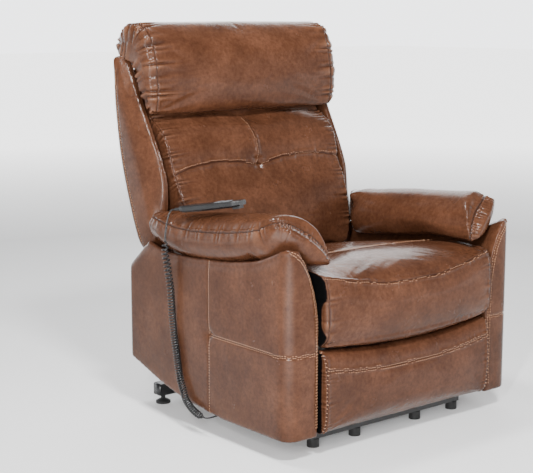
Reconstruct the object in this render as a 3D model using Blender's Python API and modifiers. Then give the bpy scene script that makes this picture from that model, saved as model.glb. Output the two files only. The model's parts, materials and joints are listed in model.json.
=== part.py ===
"""Lift recliner chair: an upholstered power recliner standing on a tilting lift frame.

+Z is up, the chair faces -Y and +X is the sitter's left. The origin is on the floor, under
the middle of the chair. All lengths are in metres.

The steel work is laid out in flat layers on each side, from the middle outwards: lift arm,
back upright, chassis rail (in line with the base post), front lift link, then the three
layers of the footrest's folding links. Side pieces are made on the left and mirrored.
"""

import math

import bmesh
import bpy
from mathutils import Matrix, Vector

COLLECTION = "lift_recliner_chair"
TOUCH = 0.0003  # gap between pieces that rest on each other

# Overall upholstery sizes
ARM_INNER_X = 0.310
CUSHION_HALF = 0.300
HEADREST_HALF = 0.348
WING_X = (0.325, 0.378)
DECK_Z = (0.2605, 0.2755)
BACK_LEAN = math.radians(20.0)

# Layers of the steel work, as x ranges on the left side, from the middle outwards
ARM_X = (0.2142, 0.2222)
UPRIGHT_X = (0.2240, 0.2300)
RAIL_X = (0.2315, 0.2385)
POST_X = (0.2225, 0.2475)
FRONT_LINK_X = (0.2478, 0.2558)
GUIDE_X = (0.2568, 0.2608)
DRIVE_X = (0.2613, 0.2653)
LONG_X = (0.2658, 0.2698)
FOLLOW_X = (0.2703, 0.2743)

# Pivots in the side plane, as (y, z)
ARM_PIVOT = (-0.23969, 0.16857)
LINK_PIVOT = (-0.30936, 0.14994)
CHASSIS_PIVOT = (0.19973, 0.10486)
LINK_END = (-0.02982, 0.09014)
BACK_PIVOT = (0.170, 0.330)
DRIVE_PIVOT = (-0.28906, 0.25321)
FOLLOW_PIVOT = (-0.23067, 0.25360)
LONG_PIVOT = (-0.20893, 0.08193)
FOLLOW_END = (-0.14944, 0.08232)
GUIDE_PIVOT = (-0.19899, 0.13093)
FOOT_PIVOT = (-0.34489, 0.19445)
GUIDE_END = (-0.32860, 0.24720)
SHAFT_AT = (-0.2754, 0.2242)

# Actuators: anchor and tip in the side plane, and the x of the rod's line
LIFT_ANCHOR = (0.1308, 0.0740)
LIFT_TIP = (-0.2017, 0.2218)
LIFT_X = 0.060
BACK_ANCHOR = (-0.1116, 0.2333)
BACK_TIP = (0.2181, 0.2500)
BACK_X = -0.060

PIN = 0.0080
PIN_HOLE = 0.0085
RIVET = 0.0040
RIVET_HOLE = 0.0045
OPEN_RIVET_HOLE = 0.0065

# Handset, lying on the pad of the sitter's right arm: ends of its centre line
HANDSET_CORD_END = Vector((-0.398, 0.046, 0.590))
HANDSET_FRONT_END = Vector((-0.328, -0.125, 0.618))
HANDSET_WIDTH = 0.048
BUTTON_SIZE = (0.015, 0.012, 0.005)
BUTTON_PROUD = 0.0018
WIRE_RADIUS = 0.0021
CURL_RADIUS = 0.0090

FINISHES = {
    "leather": ((0.235, 0.105, 0.058), 0.42, 0.0),
    "black_steel": ((0.020, 0.020, 0.022), 0.45, 1.0),
    "bright_steel": ((0.520, 0.530, 0.540), 0.35, 1.0),
    "black_plastic": ((0.018, 0.018, 0.020), 0.50, 0.0),
    "grey_plastic": ((0.110, 0.115, 0.120), 0.50, 0.0),
    "rubber": ((0.015, 0.015, 0.015), 0.80, 0.0),
    "webbing": ((0.030, 0.030, 0.032), 0.90, 0.0),
}


# ---------------------------------------------------------------- scene and objects


def clear_scene():
    """Remove what the scene holds, and make the collections for parts and cutters."""
    for obj in list(bpy.data.objects):
        bpy.data.objects.remove(obj, do_unlink=True)
    for name in (COLLECTION, "cutters"):
        collection = bpy.data.collections.new(name)
        bpy.context.scene.collection.children.link(collection)


def paint(obj, finish):
    """Give an object its own Principled BSDF material."""
    colour, roughness, metallic = FINISHES[finish]
    material = bpy.data.materials.new(f"{obj.name}_{finish}")
    material.use_nodes = True
    shader = material.node_tree.nodes["Principled BSDF"]
    shader.inputs["Base Color"].default_value = (*colour, 1.0)
    shader.inputs["Roughness"].default_value = roughness
    shader.inputs["Metallic"].default_value = metallic
    obj.data.materials.append(material)


def add_part(name, mesh, finish, origin=(0.0, 0.0, 0.0), smooth_deg=35.0):
    """Put a mesh made in world coordinates into the model, with its origin on its joint."""
    origin = Vector(origin)
    mesh.transform(Matrix.Translation(-origin))
    mesh.shade_smooth()
    mesh.set_sharp_from_angle(angle=math.radians(smooth_deg))
    obj = bpy.data.objects.new(name, mesh)
    obj.location = origin
    bpy.data.collections[COLLECTION].objects.link(obj)
    mesh.materials.clear()
    paint(obj, finish)
    return obj


def combine(obj, mesh, operation):
    """Join a mesh to an object, or cut it away, with an exact Boolean modifier."""
    tool = bpy.data.objects.new(f"{obj.name}_tool_{len(obj.modifiers)}", mesh)
    tool.hide_render = True
    tool.display_type = "WIRE"
    bpy.data.collections["cutters"].objects.link(tool)
    modifier = obj.modifiers.new(operation.lower(), "BOOLEAN")
    modifier.operation = operation
    modifier.solver = "EXACT"
    modifier.object = tool


def join(obj, *meshes):
    for mesh in meshes:
        combine(obj, mesh, "UNION")


def cut(obj, *meshes):
    for mesh in meshes:
        combine(obj, mesh, "DIFFERENCE")


def on_axis(point):
    """The world point of a side-plane pivot, in the middle of the chair."""
    return (0.0, point[0], point[1])


def evaluated_mesh(obj):
    """A new mesh of the object as its modifiers leave it, in world coordinates."""
    bpy.context.view_layer.update()
    depsgraph = bpy.context.evaluated_depsgraph_get()
    mesh = bpy.data.meshes.new_from_object(obj.evaluated_get(depsgraph))
    mesh.transform(obj.matrix_world)
    return mesh


def mirror_part(obj, name, finish):
    """The right-hand twin of a left-hand part."""
    mesh = evaluated_mesh(obj)
    mesh.transform(Matrix.Scale(-1.0, 4, (1.0, 0.0, 0.0)))
    mesh.flip_normals()
    return add_part(name, mesh, finish, obj.location)


# ---------------------------------------------------------------- mesh builders


def finish_mesh(bm, name):
    """Turn the faces outwards and make the mesh."""
    bmesh.ops.recalc_face_normals(bm, faces=bm.faces)
    if bm.calc_volume(signed=True) < 0:
        bmesh.ops.reverse_faces(bm, faces=bm.faces)
    mesh = bpy.data.meshes.new(name)
    bm.to_mesh(mesh)
    bm.free()
    return mesh


def box_mesh(low, high):
    size = [b - a for a, b in zip(low, high)]
    middle = [(a + b) / 2 for a, b in zip(low, high)]
    bm = bmesh.new()
    bmesh.ops.create_cube(bm, size=1.0)
    bmesh.ops.scale(bm, vec=size, verts=bm.verts)
    bmesh.ops.translate(bm, vec=middle, verts=bm.verts)
    return finish_mesh(bm, "box")


def rod_mesh(start, end, radius, sides=16, end_radius=None):
    """A round rod, or a taper where end_radius is given."""
    start, end = Vector(start), Vector(end)
    along = end - start
    turn = along.to_track_quat("Z", "Y").to_matrix().to_4x4()
    bm = bmesh.new()
    bmesh.ops.create_cone(
        bm,
        cap_ends=True,
        segments=sides,
        radius1=radius,
        radius2=radius if end_radius is None else end_radius,
        depth=along.length,
    )
    bm.transform(Matrix.Translation((start + end) / 2) @ turn)
    return finish_mesh(bm, "rod")


def loft_mesh(rings):
    """A closed skin through rings of points, with a flat cap on each end."""
    bm = bmesh.new()
    rows = [[bm.verts.new(point) for point in ring] for ring in rings]
    count = len(rows[0])
    for row, following in zip(rows, rows[1:]):
        for i in range(count):
            j = (i + 1) % count
            bm.faces.new((row[i], row[j], following[j], following[i]))
    bm.faces.new(rows[0])
    bm.faces.new(rows[-1])
    return finish_mesh(bm, "loft")


def plumped(rings):
    """Push each ring's points outwards, so that a rounded skin still passes through them."""
    result = []
    for ring in rings:
        points = [Vector(point) for point in ring]
        count = len(points)
        pushed = []
        for i, point in enumerate(points):
            between = (points[i - 1] + points[(i + 1) % count]) / 2
            pushed.append(point + (point - between) / 4)
        result.append(pushed)
    return result


def circle(centre, radius, sides=16):
    return arc(centre, radius, 0.0, 360.0, sides)[:-1]


def arc(centre, radius, first_deg, last_deg, steps):
    """Points on an arc in the side plane, both ends included."""
    points = []
    for i in range(steps + 1):
        angle = math.radians(first_deg + (last_deg - first_deg) * i / steps)
        points.append((centre[0] + radius * math.cos(angle), centre[1] + radius * math.sin(angle)))
    return points


def wrapped(corners, radius, steps=5):
    """Outline that a taut belt takes around equal rollers at convex, anticlockwise corners."""
    points = []
    count = len(corners)
    for i, corner in enumerate(corners):
        before = Vector(corner) - Vector(corners[i - 1])
        after = Vector(corners[(i + 1) % count]) - Vector(corner)
        first = math.degrees(math.atan2(before.y, before.x)) - 90.0
        turn = math.degrees(math.atan2(before.x * after.y - before.y * after.x, before.dot(after)))
        if count == 2:
            turn = 180.0
        points += arc(corner, radius, first, first + turn, steps)
    return points


def bent_bar(start, bend, end, radius, steps=6):
    """Outline of a bar with round ends and one bend."""
    start, bend, end = Vector(start), Vector(bend), Vector(end)
    first, second = (bend - start).normalized(), (end - bend).normalized()
    middle = (first + second).normalized()
    side = Vector((-middle.y, middle.x)) * radius / middle.dot(first)
    angle_first = math.degrees(math.atan2(first.y, first.x))
    angle_second = math.degrees(math.atan2(second.y, second.x))
    points = arc(start, radius, angle_first + 90.0, angle_first + 270.0, steps)
    points.append(tuple(bend - side))
    points += arc(end, radius, angle_second - 90.0, angle_second + 90.0, steps)
    points.append(tuple(bend + side))
    return points


def plate_mesh(outline, x_range, holes=()):
    """A flat plate standing in the side plane, cut from a 2D curve with round holes."""
    curve = bpy.data.curves.new("outline", "CURVE")
    curve.dimensions = "2D"
    curve.fill_mode = "BOTH"
    curve.extrude = (x_range[1] - x_range[0]) / 2
    for ring in (outline, *holes):
        spline = curve.splines.new("POLY")
        spline.points.add(len(ring) - 1)
        spline.use_cyclic_u = True
        for point, (y, z) in zip(spline.points, ring):
            point.co = (y, z, 0.0, 1.0)
    guide = bpy.data.objects.new("outline", curve)
    bpy.context.scene.collection.objects.link(guide)
    mesh = evaluated_mesh(guide)
    bpy.data.objects.remove(guide)
    middle = (x_range[0] + x_range[1]) / 2
    mesh.transform(Matrix(((0, 0, 1, middle), (1, 0, 0, 0), (0, 1, 0, 0), (0, 0, 0, 1))))
    bm = bmesh.new()
    bm.from_mesh(mesh)
    bmesh.ops.remove_doubles(bm, verts=bm.verts, dist=0.00002)
    return finish_mesh(bm, "plate")


def pin_mesh(point, x_start, x_end, radius, sides=16):
    """A pin across the chair at a side-plane point."""
    return rod_mesh((x_start, *point), (x_end, *point), radius, sides)


def line_matrix(anchor, tip, x):
    """Frame at an actuator's anchor: local Z runs to the tip and local X is the world's."""
    along = Vector((0.0, tip[0] - anchor[0], tip[1] - anchor[1])).normalized()
    across = Vector((1.0, 0.0, 0.0))
    up = along.cross(across)
    turn = Matrix((across, up, along)).transposed().to_4x4()
    return Matrix.Translation((x, *anchor)) @ turn


def back_point(up, deep):
    """Side-plane point of the backrest: up along its lean, and deep behind its front."""
    sin, cos = math.sin(BACK_LEAN), math.cos(BACK_LEAN)
    return (0.073 + up * sin + deep * cos, 0.330 + up * cos - deep * sin)


def soften(obj, levels=1):
    """Round a coarse cushion cage."""
    modifier = obj.modifiers.new("soft", "SUBSURF")
    modifier.levels = levels
    modifier.render_levels = levels


# ---------------------------------------------------------------- base


def make_base():
    tube_front = box_mesh((-0.278, -0.3405, 0.0225), (0.278, -0.3155, 0.0475))
    add_part("base_front_tube", tube_front, "black_steel")
    make_base_rear_tube()
    rail_outline = [(-0.3152, 0.0225), (0.2087, 0.0225), (0.2087, 0.0475), (-0.215, 0.0475)]
    rail_outline += arc(ARM_PIVOT, 0.0160, -8.0, 105.0, 6)
    rail_outline += arc(LINK_PIVOT, 0.0160, 105.0, 185.0, 5)
    rail_outline += [(-0.3152, 0.0600)]
    left = add_part("base_rail_left", plate_mesh(rail_outline, POST_X), "black_steel")
    join(left, pin_mesh(ARM_PIVOT, 0.2145, 0.2300, PIN), pin_mesh(LINK_PIVOT, 0.2400, 0.2555, PIN))
    mirror_part(left, "base_rail_right", "black_steel")
    for side, sign in (("left", 1), ("right", -1)):
        for place, x in (("outer", 0.260), ("inner", 0.113)):
            foot = rod_mesh((sign * x, -0.328, 0.0), (sign * x, -0.328, 0.0222), 0.016, 20)
            add_part(f"front_foot_{side}_{place}", foot, "rubber")
        add_part(f"rear_foot_{side}", rear_foot_mesh(sign * 0.337, 0.234), "rubber")


def make_base_rear_tube():
    """The rear cross tube, with the two cheeks and the pin that hold the lift actuator."""
    tube = add_part(
        "base_rear_tube", box_mesh((-0.360, 0.209, 0.028), (0.360, 0.243, 0.062)), "black_steel"
    )
    cheek = wrapped([LIFT_ANCHOR, (0.222, 0.040), (0.222, 0.050)], 0.012)
    join(tube, plate_mesh(cheek, (0.042, 0.047)), plate_mesh(cheek, (0.073, 0.078)))
    join(tube, pin_mesh(LIFT_ANCHOR, 0.045, 0.075, 0.0060))


def rear_foot_mesh(x, y):
    """A levelling foot: round pad, sloping shoulder and threaded stem."""
    profile = ((0.0210, 0.000), (0.0210, 0.006), (0.0120, 0.011), (0.0065, 0.013), (0.0065, 0.0277))
    rings = []
    for radius, height in profile:
        rings.append([(px, py, height) for px, py in circle((x, y), radius, 18)])
    return loft_mesh(rings)


# ---------------------------------------------------------------- lift frame


def make_lift_frame():
    holes = [circle(ARM_PIVOT, PIN_HOLE), circle(CHASSIS_PIVOT, PIN_HOLE)]
    arm = plate_mesh(wrapped([ARM_PIVOT, CHASSIS_PIVOT], 0.016), ARM_X, holes)
    left = add_part("lift_arm_left", arm, "black_steel", on_axis(ARM_PIVOT))
    mirror_part(left, "lift_arm_right", "black_steel")
    holes = [circle(LINK_PIVOT, PIN_HOLE), circle(LINK_END, 0.0090)]
    link = plate_mesh(wrapped([LINK_PIVOT, LINK_END], 0.014), FRONT_LINK_X, holes)
    left = add_part("lift_link_left", link, "black_steel", on_axis(LINK_PIVOT))
    mirror_part(left, "lift_link_right", "black_steel")
    make_torque_tube()


def make_torque_tube():
    """Cross tube on the arms' pivot, with the crank that the lift actuator pushes."""
    end = ARM_X[0] - TOUCH
    tube = add_part(
        "lift_torque_tube", pin_mesh(ARM_PIVOT, -end, end, 0.013, 20), "black_steel",
        on_axis(ARM_PIVOT),
    )
    cheek = wrapped([ARM_PIVOT, LIFT_TIP], 0.012)
    join(tube, plate_mesh(cheek, (0.0495, 0.0545)), plate_mesh(cheek, (0.0655, 0.0705)))
    join(tube, pin_mesh(LIFT_TIP, 0.0520, 0.0680, 0.0045))


# ---------------------------------------------------------------- actuators


def make_actuator(prefix, anchor, tip, x, size, eye):
    """A linear actuator: gearbox, motor and outer tube in one body, and its rod.

    size holds the tube's length and radius, the gearbox's height and the side of the motor.
    eye holds the rod eye's thickness, outer radius and hole radius.
    """
    tube_end, tube_radius, gearbox, motor_side = size
    eye_width, eye_radius, eye_hole = eye
    frame = line_matrix(anchor, tip, x)
    length = (Vector(tip) - Vector(anchor)).length

    ear = box_mesh((-0.0120, -0.012, 0.0), (0.0120, 0.012, 0.040))
    body = add_part(f"{prefix}_motor", placed(ear, frame), "black_plastic", (x, *anchor))
    half = gearbox / 2
    box = box_mesh((-0.026, -half, 0.026), (0.026, half, 0.082))
    motor = rod_mesh((motor_side * 0.02, 0.0, 0.054), (motor_side * 0.115, 0.0, 0.054), half - 0.002)
    tube = rod_mesh((0.0, 0.0, 0.070), (0.0, 0.0, tube_end), tube_radius, 16)
    join(body, pin_mesh(anchor, x - 0.0125, x + 0.0125, 0.0130))
    join(body, *(placed(mesh, frame) for mesh in (box, motor, tube)))
    cut(body, pin_mesh(anchor, x - 0.02, x + 0.02, 0.0066))
    cut(body, placed(rod_mesh((0, 0, 0.095), (0, 0, tube_end + 0.01), 0.0079, 16), frame))

    rod = rod_mesh((0, 0, tube_end - 0.030), (0, 0, length - eye_radius - 0.024), 0.0072, 16)
    rod_part = add_part(f"{prefix}_rod", placed(rod, frame), "bright_steel", (x, *tip))
    shank = box_mesh(
        (0.0005 - eye_width / 2, -eye_radius * 0.9, length - eye_radius - 0.028),
        (eye_width / 2 - 0.0005, eye_radius * 0.9, length),
    )
    join(rod_part, placed(shank, frame))
    join(rod_part, pin_mesh(tip, x - eye_width / 2, x + eye_width / 2, eye_radius, 24))
    cut(rod_part, pin_mesh(tip, x - eye_width, x + eye_width, eye_hole, 24))


def placed(mesh, matrix):
    mesh.transform(matrix)
    return mesh


# ---------------------------------------------------------------- chassis


def make_chassis():
    left = add_part("chassis_rail_left", plate_mesh(rail_outline(), RAIL_X), "black_steel")
    rail_pins = [
        pin_mesh(CHASSIS_PIVOT, 0.2226, 0.2330, 0.0130),
        pin_mesh(CHASSIS_PIVOT, 0.2145, 0.2240, PIN),
        pin_mesh(LINK_END, 0.2370, 0.2475, 0.0120),
        pin_mesh(LINK_END, 0.2460, 0.2555, 0.0075),
        pin_mesh(BACK_PIVOT, 0.2303, 0.2330, 0.0120),
        pin_mesh(BACK_PIVOT, 0.2243, 0.2310, PIN),
    ]
    for pivot, layer in ((DRIVE_PIVOT, DRIVE_X), (FOLLOW_PIVOT, FOLLOW_X)):
        rail_pins.append(pin_mesh(pivot, 0.2370, layer[0] - TOUCH, 0.0066))
        rail_pins.append(pin_mesh(pivot, layer[0] - 0.0010, layer[1] - TOUCH, 0.0055))
    join(left, *rail_pins)
    mirror_part(left, "chassis_rail_right", "black_steel")
    end = ARM_INNER_X - TOUCH
    front = box_mesh((-end, -0.168, 0.2410), (end, -0.150, 0.2590))
    front_tube = add_part("chassis_front_tube", front, "black_steel")
    cheek = wrapped([(-0.160, 0.2500), (-0.160, 0.2490), BACK_ANCHOR], 0.0085)
    for x in (BACK_X - 0.0180, BACK_X + 0.0130):
        join(front_tube, plate_mesh(cheek, (x, x + 0.0050)))
    join(front_tube, pin_mesh(BACK_ANCHOR, BACK_X - 0.0155, BACK_X + 0.0155, 0.0060))
    add_part("chassis_rear_tube", box_mesh((-end, 0.090, 0.1905), (end, 0.108, 0.2085)), "black_steel")
    deck = box_mesh((-0.242, -0.354, DECK_Z[0]), (0.242, 0.098, DECK_Z[1]))
    add_part("seat_deck", deck, "webbing")
    make_control_box()
    apron = box_mesh((-end, 0.258, 0.145), (end, 0.268, 0.300))
    add_part("rear_apron", apron, "leather")


def rail_outline():
    """Side rail: slim nose over the footrest drive, lugs for both lift pivots and the back."""
    top, nose = DECK_Z[0] - TOUCH, 0.2395
    points = [(-0.300, nose), (-0.205, nose), (-0.185, 0.194), (-0.056, 0.190)]
    points += arc(LINK_END, 0.014, 180.0, 360.0, 6)
    points += [(0.000, 0.188), (0.0897, 0.187), (0.0897, 0.2088), (0.1083, 0.2088)]
    points += [(0.1083, 0.186), (0.165, 0.184)]
    points += arc(CHASSIS_PIVOT, 0.014, 180.0, 360.0, 6)
    points += [(0.2137, top), (0.195, top)]
    points += arc(BACK_PIVOT, 0.015, 0.0, 180.0, 6)
    points += [(0.145, top), (-0.1497, top), (-0.1497, 0.2407), (-0.1683, 0.2407)]
    points += [(-0.1683, top), (-0.300, top)]
    return points


def make_control_box():
    """Control unit inside the sitter's right arm, with the gland of the handset cord."""
    low, high = (-ARM_INNER_X + TOUCH, -0.010, 0.120), (-0.272, 0.085, 0.190)
    box = add_part("control_box", box_mesh(low, high), "black_plastic")
    join(box, rod_mesh((-0.290, 0.030, 0.105), (-0.290, 0.030, 0.125), 0.0070, 14))


# ---------------------------------------------------------------- arms and seat

# Side view of the arm panel: y, outer x, top z and bottom z at each station
ARM_STATIONS = (
    (-0.404, 0.368, 0.516, 0.053),
    (-0.394, 0.395, 0.524, 0.053),
    (-0.366, 0.410, 0.517, 0.053),
    (-0.290, 0.410, 0.498, 0.053),
    (-0.200, 0.410, 0.480, 0.053),
    (-0.084, 0.410, 0.470, 0.056),
    (0.040, 0.410, 0.462, 0.069),
    (0.130, 0.410, 0.470, 0.088),
    (0.191, 0.410, 0.483, 0.108),
    (0.285, 0.410, 0.408, 0.138),
)


def make_arm_panels():
    """Upholstered side panels; the top is a rolled slope that the arm pad sits on."""
    rings = []
    for y, outer, top, bottom in ARM_STATIONS:
        shoulder = min(outer - 0.008, 0.365)
        rings.append(
            [
                (outer, y, bottom),
                (outer, y, top),
                (shoulder, y, top - 0.033),
                (ARM_INNER_X, y, top - 0.150),
                (ARM_INNER_X, y, bottom),
            ]
        )
    left = add_part("arm_panel_left", loft_mesh(rings), "leather")
    mirror_part(left, "arm_panel_right", "leather")


def arm_top(y):
    """Height of the arm panel's outer top edge at y."""
    for (y0, _, z0, _), (y1, _, z1, _) in zip(ARM_STATIONS, ARM_STATIONS[1:]):
        if y0 <= y <= y1:
            return z0 + (z1 - z0) * (y - y0) / (y1 - y0)
    return ARM_STATIONS[0][2] if y < 0 else ARM_STATIONS[-1][2]


# Arm pad: y, heights of its crown, outer seam, outer and inner lower edges, and its inner x
PAD_STATIONS = (
    (-0.200, 0.613, 0.562, 0.492, 0.480, 0.250),
    (-0.050, 0.600, 0.546, 0.480, 0.460, 0.250),
    (0.060, 0.582, 0.540, 0.476, 0.444, 0.252),
    (0.095, 0.578, 0.542, 0.480, 0.442, 0.262),
)
# The front end of an arm pad is cut on the slant: its outer side stops short of its inner side
PAD_FRONT = (
    (
        (0.388, -0.352, 0.540), (0.394, -0.356, 0.558), (0.388, -0.362, 0.574),
        (0.335, -0.386, 0.556), (0.300, -0.396, 0.533), (0.284, -0.399, 0.512),
        (0.288, -0.397, 0.500), (0.318, -0.380, 0.502), (0.356, -0.360, 0.518),
    ),
    (
        (0.404, -0.300, 0.514), (0.418, -0.302, 0.550), (0.406, -0.312, 0.588),
        (0.338, -0.352, 0.590), (0.276, -0.376, 0.545), (0.256, -0.386, 0.512),
        (0.268, -0.382, 0.484), (0.314, -0.352, 0.484), (0.358, -0.318, 0.494),
    ),
    (
        (0.408, -0.255, 0.508), (0.422, -0.255, 0.540), (0.408, -0.258, 0.571),
        (0.332, -0.290, 0.604), (0.266, -0.312, 0.571), (0.250, -0.322, 0.530),
        (0.272, -0.318, 0.486), (0.316, -0.296, 0.484), (0.358, -0.268, 0.486),
    ),
)


def make_arm_pads():
    """Pillow tops that overhang the panel on the inside and in front."""
    rings = [list(ring) for ring in PAD_FRONT]
    for y, crown, seam, outer_low, inner_low, inner_x in PAD_STATIONS:
        rings.append(
            [
                (0.408, y, outer_low),
                (0.424, y, (outer_low + seam) / 2),
                (0.406, y, seam),
                (0.330, y, crown),
                (inner_x + 0.016, y, crown - 0.035),
                (inner_x, y, (crown + inner_low) / 2),
                (inner_x + 0.022, y, inner_low),
                (0.316, y, inner_low + 0.002),
                (0.358, y, outer_low - 0.019),
            ]
        )
    for y, inner_x in ((0.130, 0.318), (0.195, 0.330)):
        top = arm_top(y)
        span = 0.412 - inner_x
        rings.append(
            [
                (0.408, y, top + 0.010),
                (0.418, y, top + 0.036),
                (0.404, y, 0.548),
                (0.404 - span * 0.25, y, 0.568),
                (0.404 - span * 0.60, y, 0.568),
                (inner_x, y, 0.545),
                (inner_x, y, top + 0.025),
                (inner_x + span * 0.20, y, top + 0.010),
                (inner_x + span * 0.55, y, top + 0.008),
            ]
        )
    left = add_part("arm_pad_left", loft_mesh(plumped(rings)), "leather")
    soften(left)
    mirror_part(left, "arm_pad_right", "leather")


def cushion_rings(profile, stations):
    """Rings of a cushion that runs across the chair: profile points drawn in at its ends."""
    middle_y = sum(y for y, _ in profile) / len(profile)
    middle_z = sum(z for _, z in profile) / len(profile)
    rings = []
    for x, scale in stations:
        ring = []
        for y, z in profile:
            ring.append((x, middle_y + (y - middle_y) * scale, middle_z + (z - middle_z) * scale))
        rings.append(ring)
    return plumped(rings)


def make_seat_cushion():
    bottom = DECK_Z[1] + 0.0014
    profile = (
        (0.098, bottom), (0.100, 0.300), (0.100, 0.412), (0.075, 0.428), (-0.100, 0.454),
        (-0.240, 0.474), (-0.340, 0.482), (-0.405, 0.472), (-0.434, 0.435), (-0.436, 0.340),
        (-0.424, 0.285),
        (-0.390, bottom), (-0.150, bottom),
    )
    half = CUSHION_HALF
    stations = ((-half, 0.93), (-half + 0.014, 1.0), (0.0, 1.0), (half - 0.014, 1.0), (half, 0.93))
    cushion = add_part("seat_cushion", loft_mesh(cushion_rings(profile, stations)), "leather")
    soften(cushion)


# ---------------------------------------------------------------- backrest


def make_backrest():
    hinge = on_axis(BACK_PIVOT)
    path = [BACK_TIP, BACK_PIVOT, back_point(0.12, 0.134), back_point(0.60, 0.134)]
    outline = wrapped([BACK_TIP, BACK_PIVOT], 0.0135)
    left = add_part(
        "back_upright_left", plate_mesh(outline, UPRIGHT_X), "black_steel", hinge
    )
    join(left, plate_mesh(wrapped(path[1:3], 0.0135), UPRIGHT_X))
    join(left, plate_mesh(wrapped(path[2:4], 0.0135), UPRIGHT_X))
    cut(left, pin_mesh(BACK_PIVOT, 0.2200, 0.2350, PIN_HOLE))
    mirror_part(left, "back_upright_right", "black_steel")
    end = UPRIGHT_X[0] - TOUCH
    add_part("back_crossbar", pin_mesh(BACK_TIP, -end, end, 0.009, 20), "black_steel", hinge)
    make_back_cushion(hinge)
    make_headrest(hinge)
    make_wings(hinge)
    panel = [back_point(0.145, 0.1485), back_point(0.145, 0.168), back_point(0.40, 0.176)]
    panel += [back_point(0.62, 0.160), back_point(0.645, 0.1485)]
    end = WING_X[0] - TOUCH
    add_part("back_outer_panel", plate_mesh(panel, (-end, end)), "leather", hinge)


def make_back_cushion(hinge):
    """Lumbar and shoulder cushion, thinner at the top where the headrest hangs over it."""
    stations = (
        (0.100, 0.300, 0.012, 0.098),
        (0.150, 0.302, 0.002, 0.1195),
        (0.260, 0.304, -0.004, 0.1195),
        (0.360, 0.316, 0.004, 0.1195),
        (0.470, 0.320, 0.012, 0.1195),
        (0.520, 0.322, 0.060, 0.1195),
        (0.625, 0.318, 0.066, 0.1150),
    )
    rings = []
    for up, half, front, rear in stations:
        depth = rear - front
        places = (
            (-half, front + 0.30 * depth), (-half + 0.022, front), (0.0, front - 0.004),
            (half - 0.022, front), (half, front + 0.30 * depth), (half, rear - 0.10 * depth),
            (half - 0.015, rear), (0.0, rear), (-half + 0.015, rear), (-half, rear - 0.10 * depth),
        )
        rings.append([(x, *back_point(up, deep)) for x, deep in places])
    cushion = add_part("back_cushion", loft_mesh(rings), "leather", hinge)
    soften(cushion)


def make_headrest(hinge):
    """Pillow that hangs over the top of the back and rolls to the rear."""
    profile = (
        (0.300, 0.822), (0.266, 0.822), (0.254, 0.860), (0.256, 0.930), (0.272, 1.010),
        (0.302, 1.068), (0.350, 1.084), (0.408, 1.078), (0.446, 1.050), (0.449, 1.005),
        (0.420, 0.978), (0.345, 0.975), (0.322, 0.930),
    )
    half = HEADREST_HALF
    stations = ((-half, 0.60), (-half + 0.020, 0.93), (-half + 0.075, 1.0), (half - 0.075, 1.0),
                (half - 0.020, 0.93), (half, 0.60))
    pillow = add_part("headrest_pillow", loft_mesh(cushion_rings(profile, stations)), "leather", hinge)
    soften(pillow)


def make_wings(hinge):
    """Padded side wings of the back, standing clear of the arm panel's rear slope."""
    outline = [
        (0.212, 0.498), (0.290, 0.449), (0.303, 0.472), (0.335, 0.552), (0.364, 0.640),
        (0.388, 0.729), (0.403, 0.837), (0.407, 0.925), (0.400, 0.955), (0.384, 0.962),
        (0.372, 0.940), (0.331, 0.831), (0.296, 0.719), (0.260, 0.632), (0.231, 0.546),
    ]
    left = add_part("back_wing_left", plate_mesh(outline, WING_X), "leather", hinge)
    mirror_part(left, "back_wing_right", "leather")


# ---------------------------------------------------------------- footrest


def make_footrest_links():
    """Folding links of the footrest: drive, follower, long and guide links, both sides."""
    corners = [DRIVE_PIVOT, LONG_PIVOT, GUIDE_PIVOT]
    drive = plate_mesh(wrapped(corners, 0.009), DRIVE_X, [circle(DRIVE_PIVOT, 0.0060)])
    drive_pins = [
        pin_mesh(LONG_PIVOT, 0.2630, 0.2695, RIVET, 12),
        pin_mesh(GUIDE_PIVOT, 0.2571, 0.2630, RIVET, 12),
    ]
    make_link_pair("footrest_drive_link", drive, DRIVE_PIVOT, drive_pins)
    holes = [circle(FOLLOW_PIVOT, 0.0060)]
    follow = plate_mesh(wrapped([FOLLOW_PIVOT, FOLLOW_END], 0.009), FOLLOW_X, holes)
    follow_pins = [pin_mesh(FOLLOW_END, 0.2658, 0.2720, RIVET, 12)]
    make_link_pair("footrest_follow_link", follow, FOLLOW_PIVOT, follow_pins)
    holes = [circle(LONG_PIVOT, RIVET_HOLE, 12), circle(FOOT_PIVOT, RIVET_HOLE, 12)]
    holes.append(circle(FOLLOW_END, OPEN_RIVET_HOLE, 12))
    bar = bent_bar(FOLLOW_END, LONG_PIVOT, FOOT_PIVOT, 0.009)
    make_link_pair("footrest_long_link", plate_mesh(bar, LONG_X, holes), LONG_PIVOT)
    holes = [circle(GUIDE_PIVOT, RIVET_HOLE, 12), circle(GUIDE_END, OPEN_RIVET_HOLE, 12)]
    guide = plate_mesh(wrapped([GUIDE_PIVOT, GUIDE_END], 0.009), GUIDE_X, holes)
    make_link_pair("footrest_guide_link", guide, GUIDE_PIVOT)
    end = DRIVE_X[0] - TOUCH
    shaft = pin_mesh(SHAFT_AT, -end, end, 0.007)
    add_part("footrest_cross_shaft", shaft, "black_steel", on_axis(DRIVE_PIVOT))


def make_link_pair(name, mesh, pivot, pins=()):
    left = add_part(f"{name}_left", mesh, "black_steel", on_axis(pivot))
    join(left, *pins)
    mirror_part(left, f"{name}_right", "black_steel")


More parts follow.
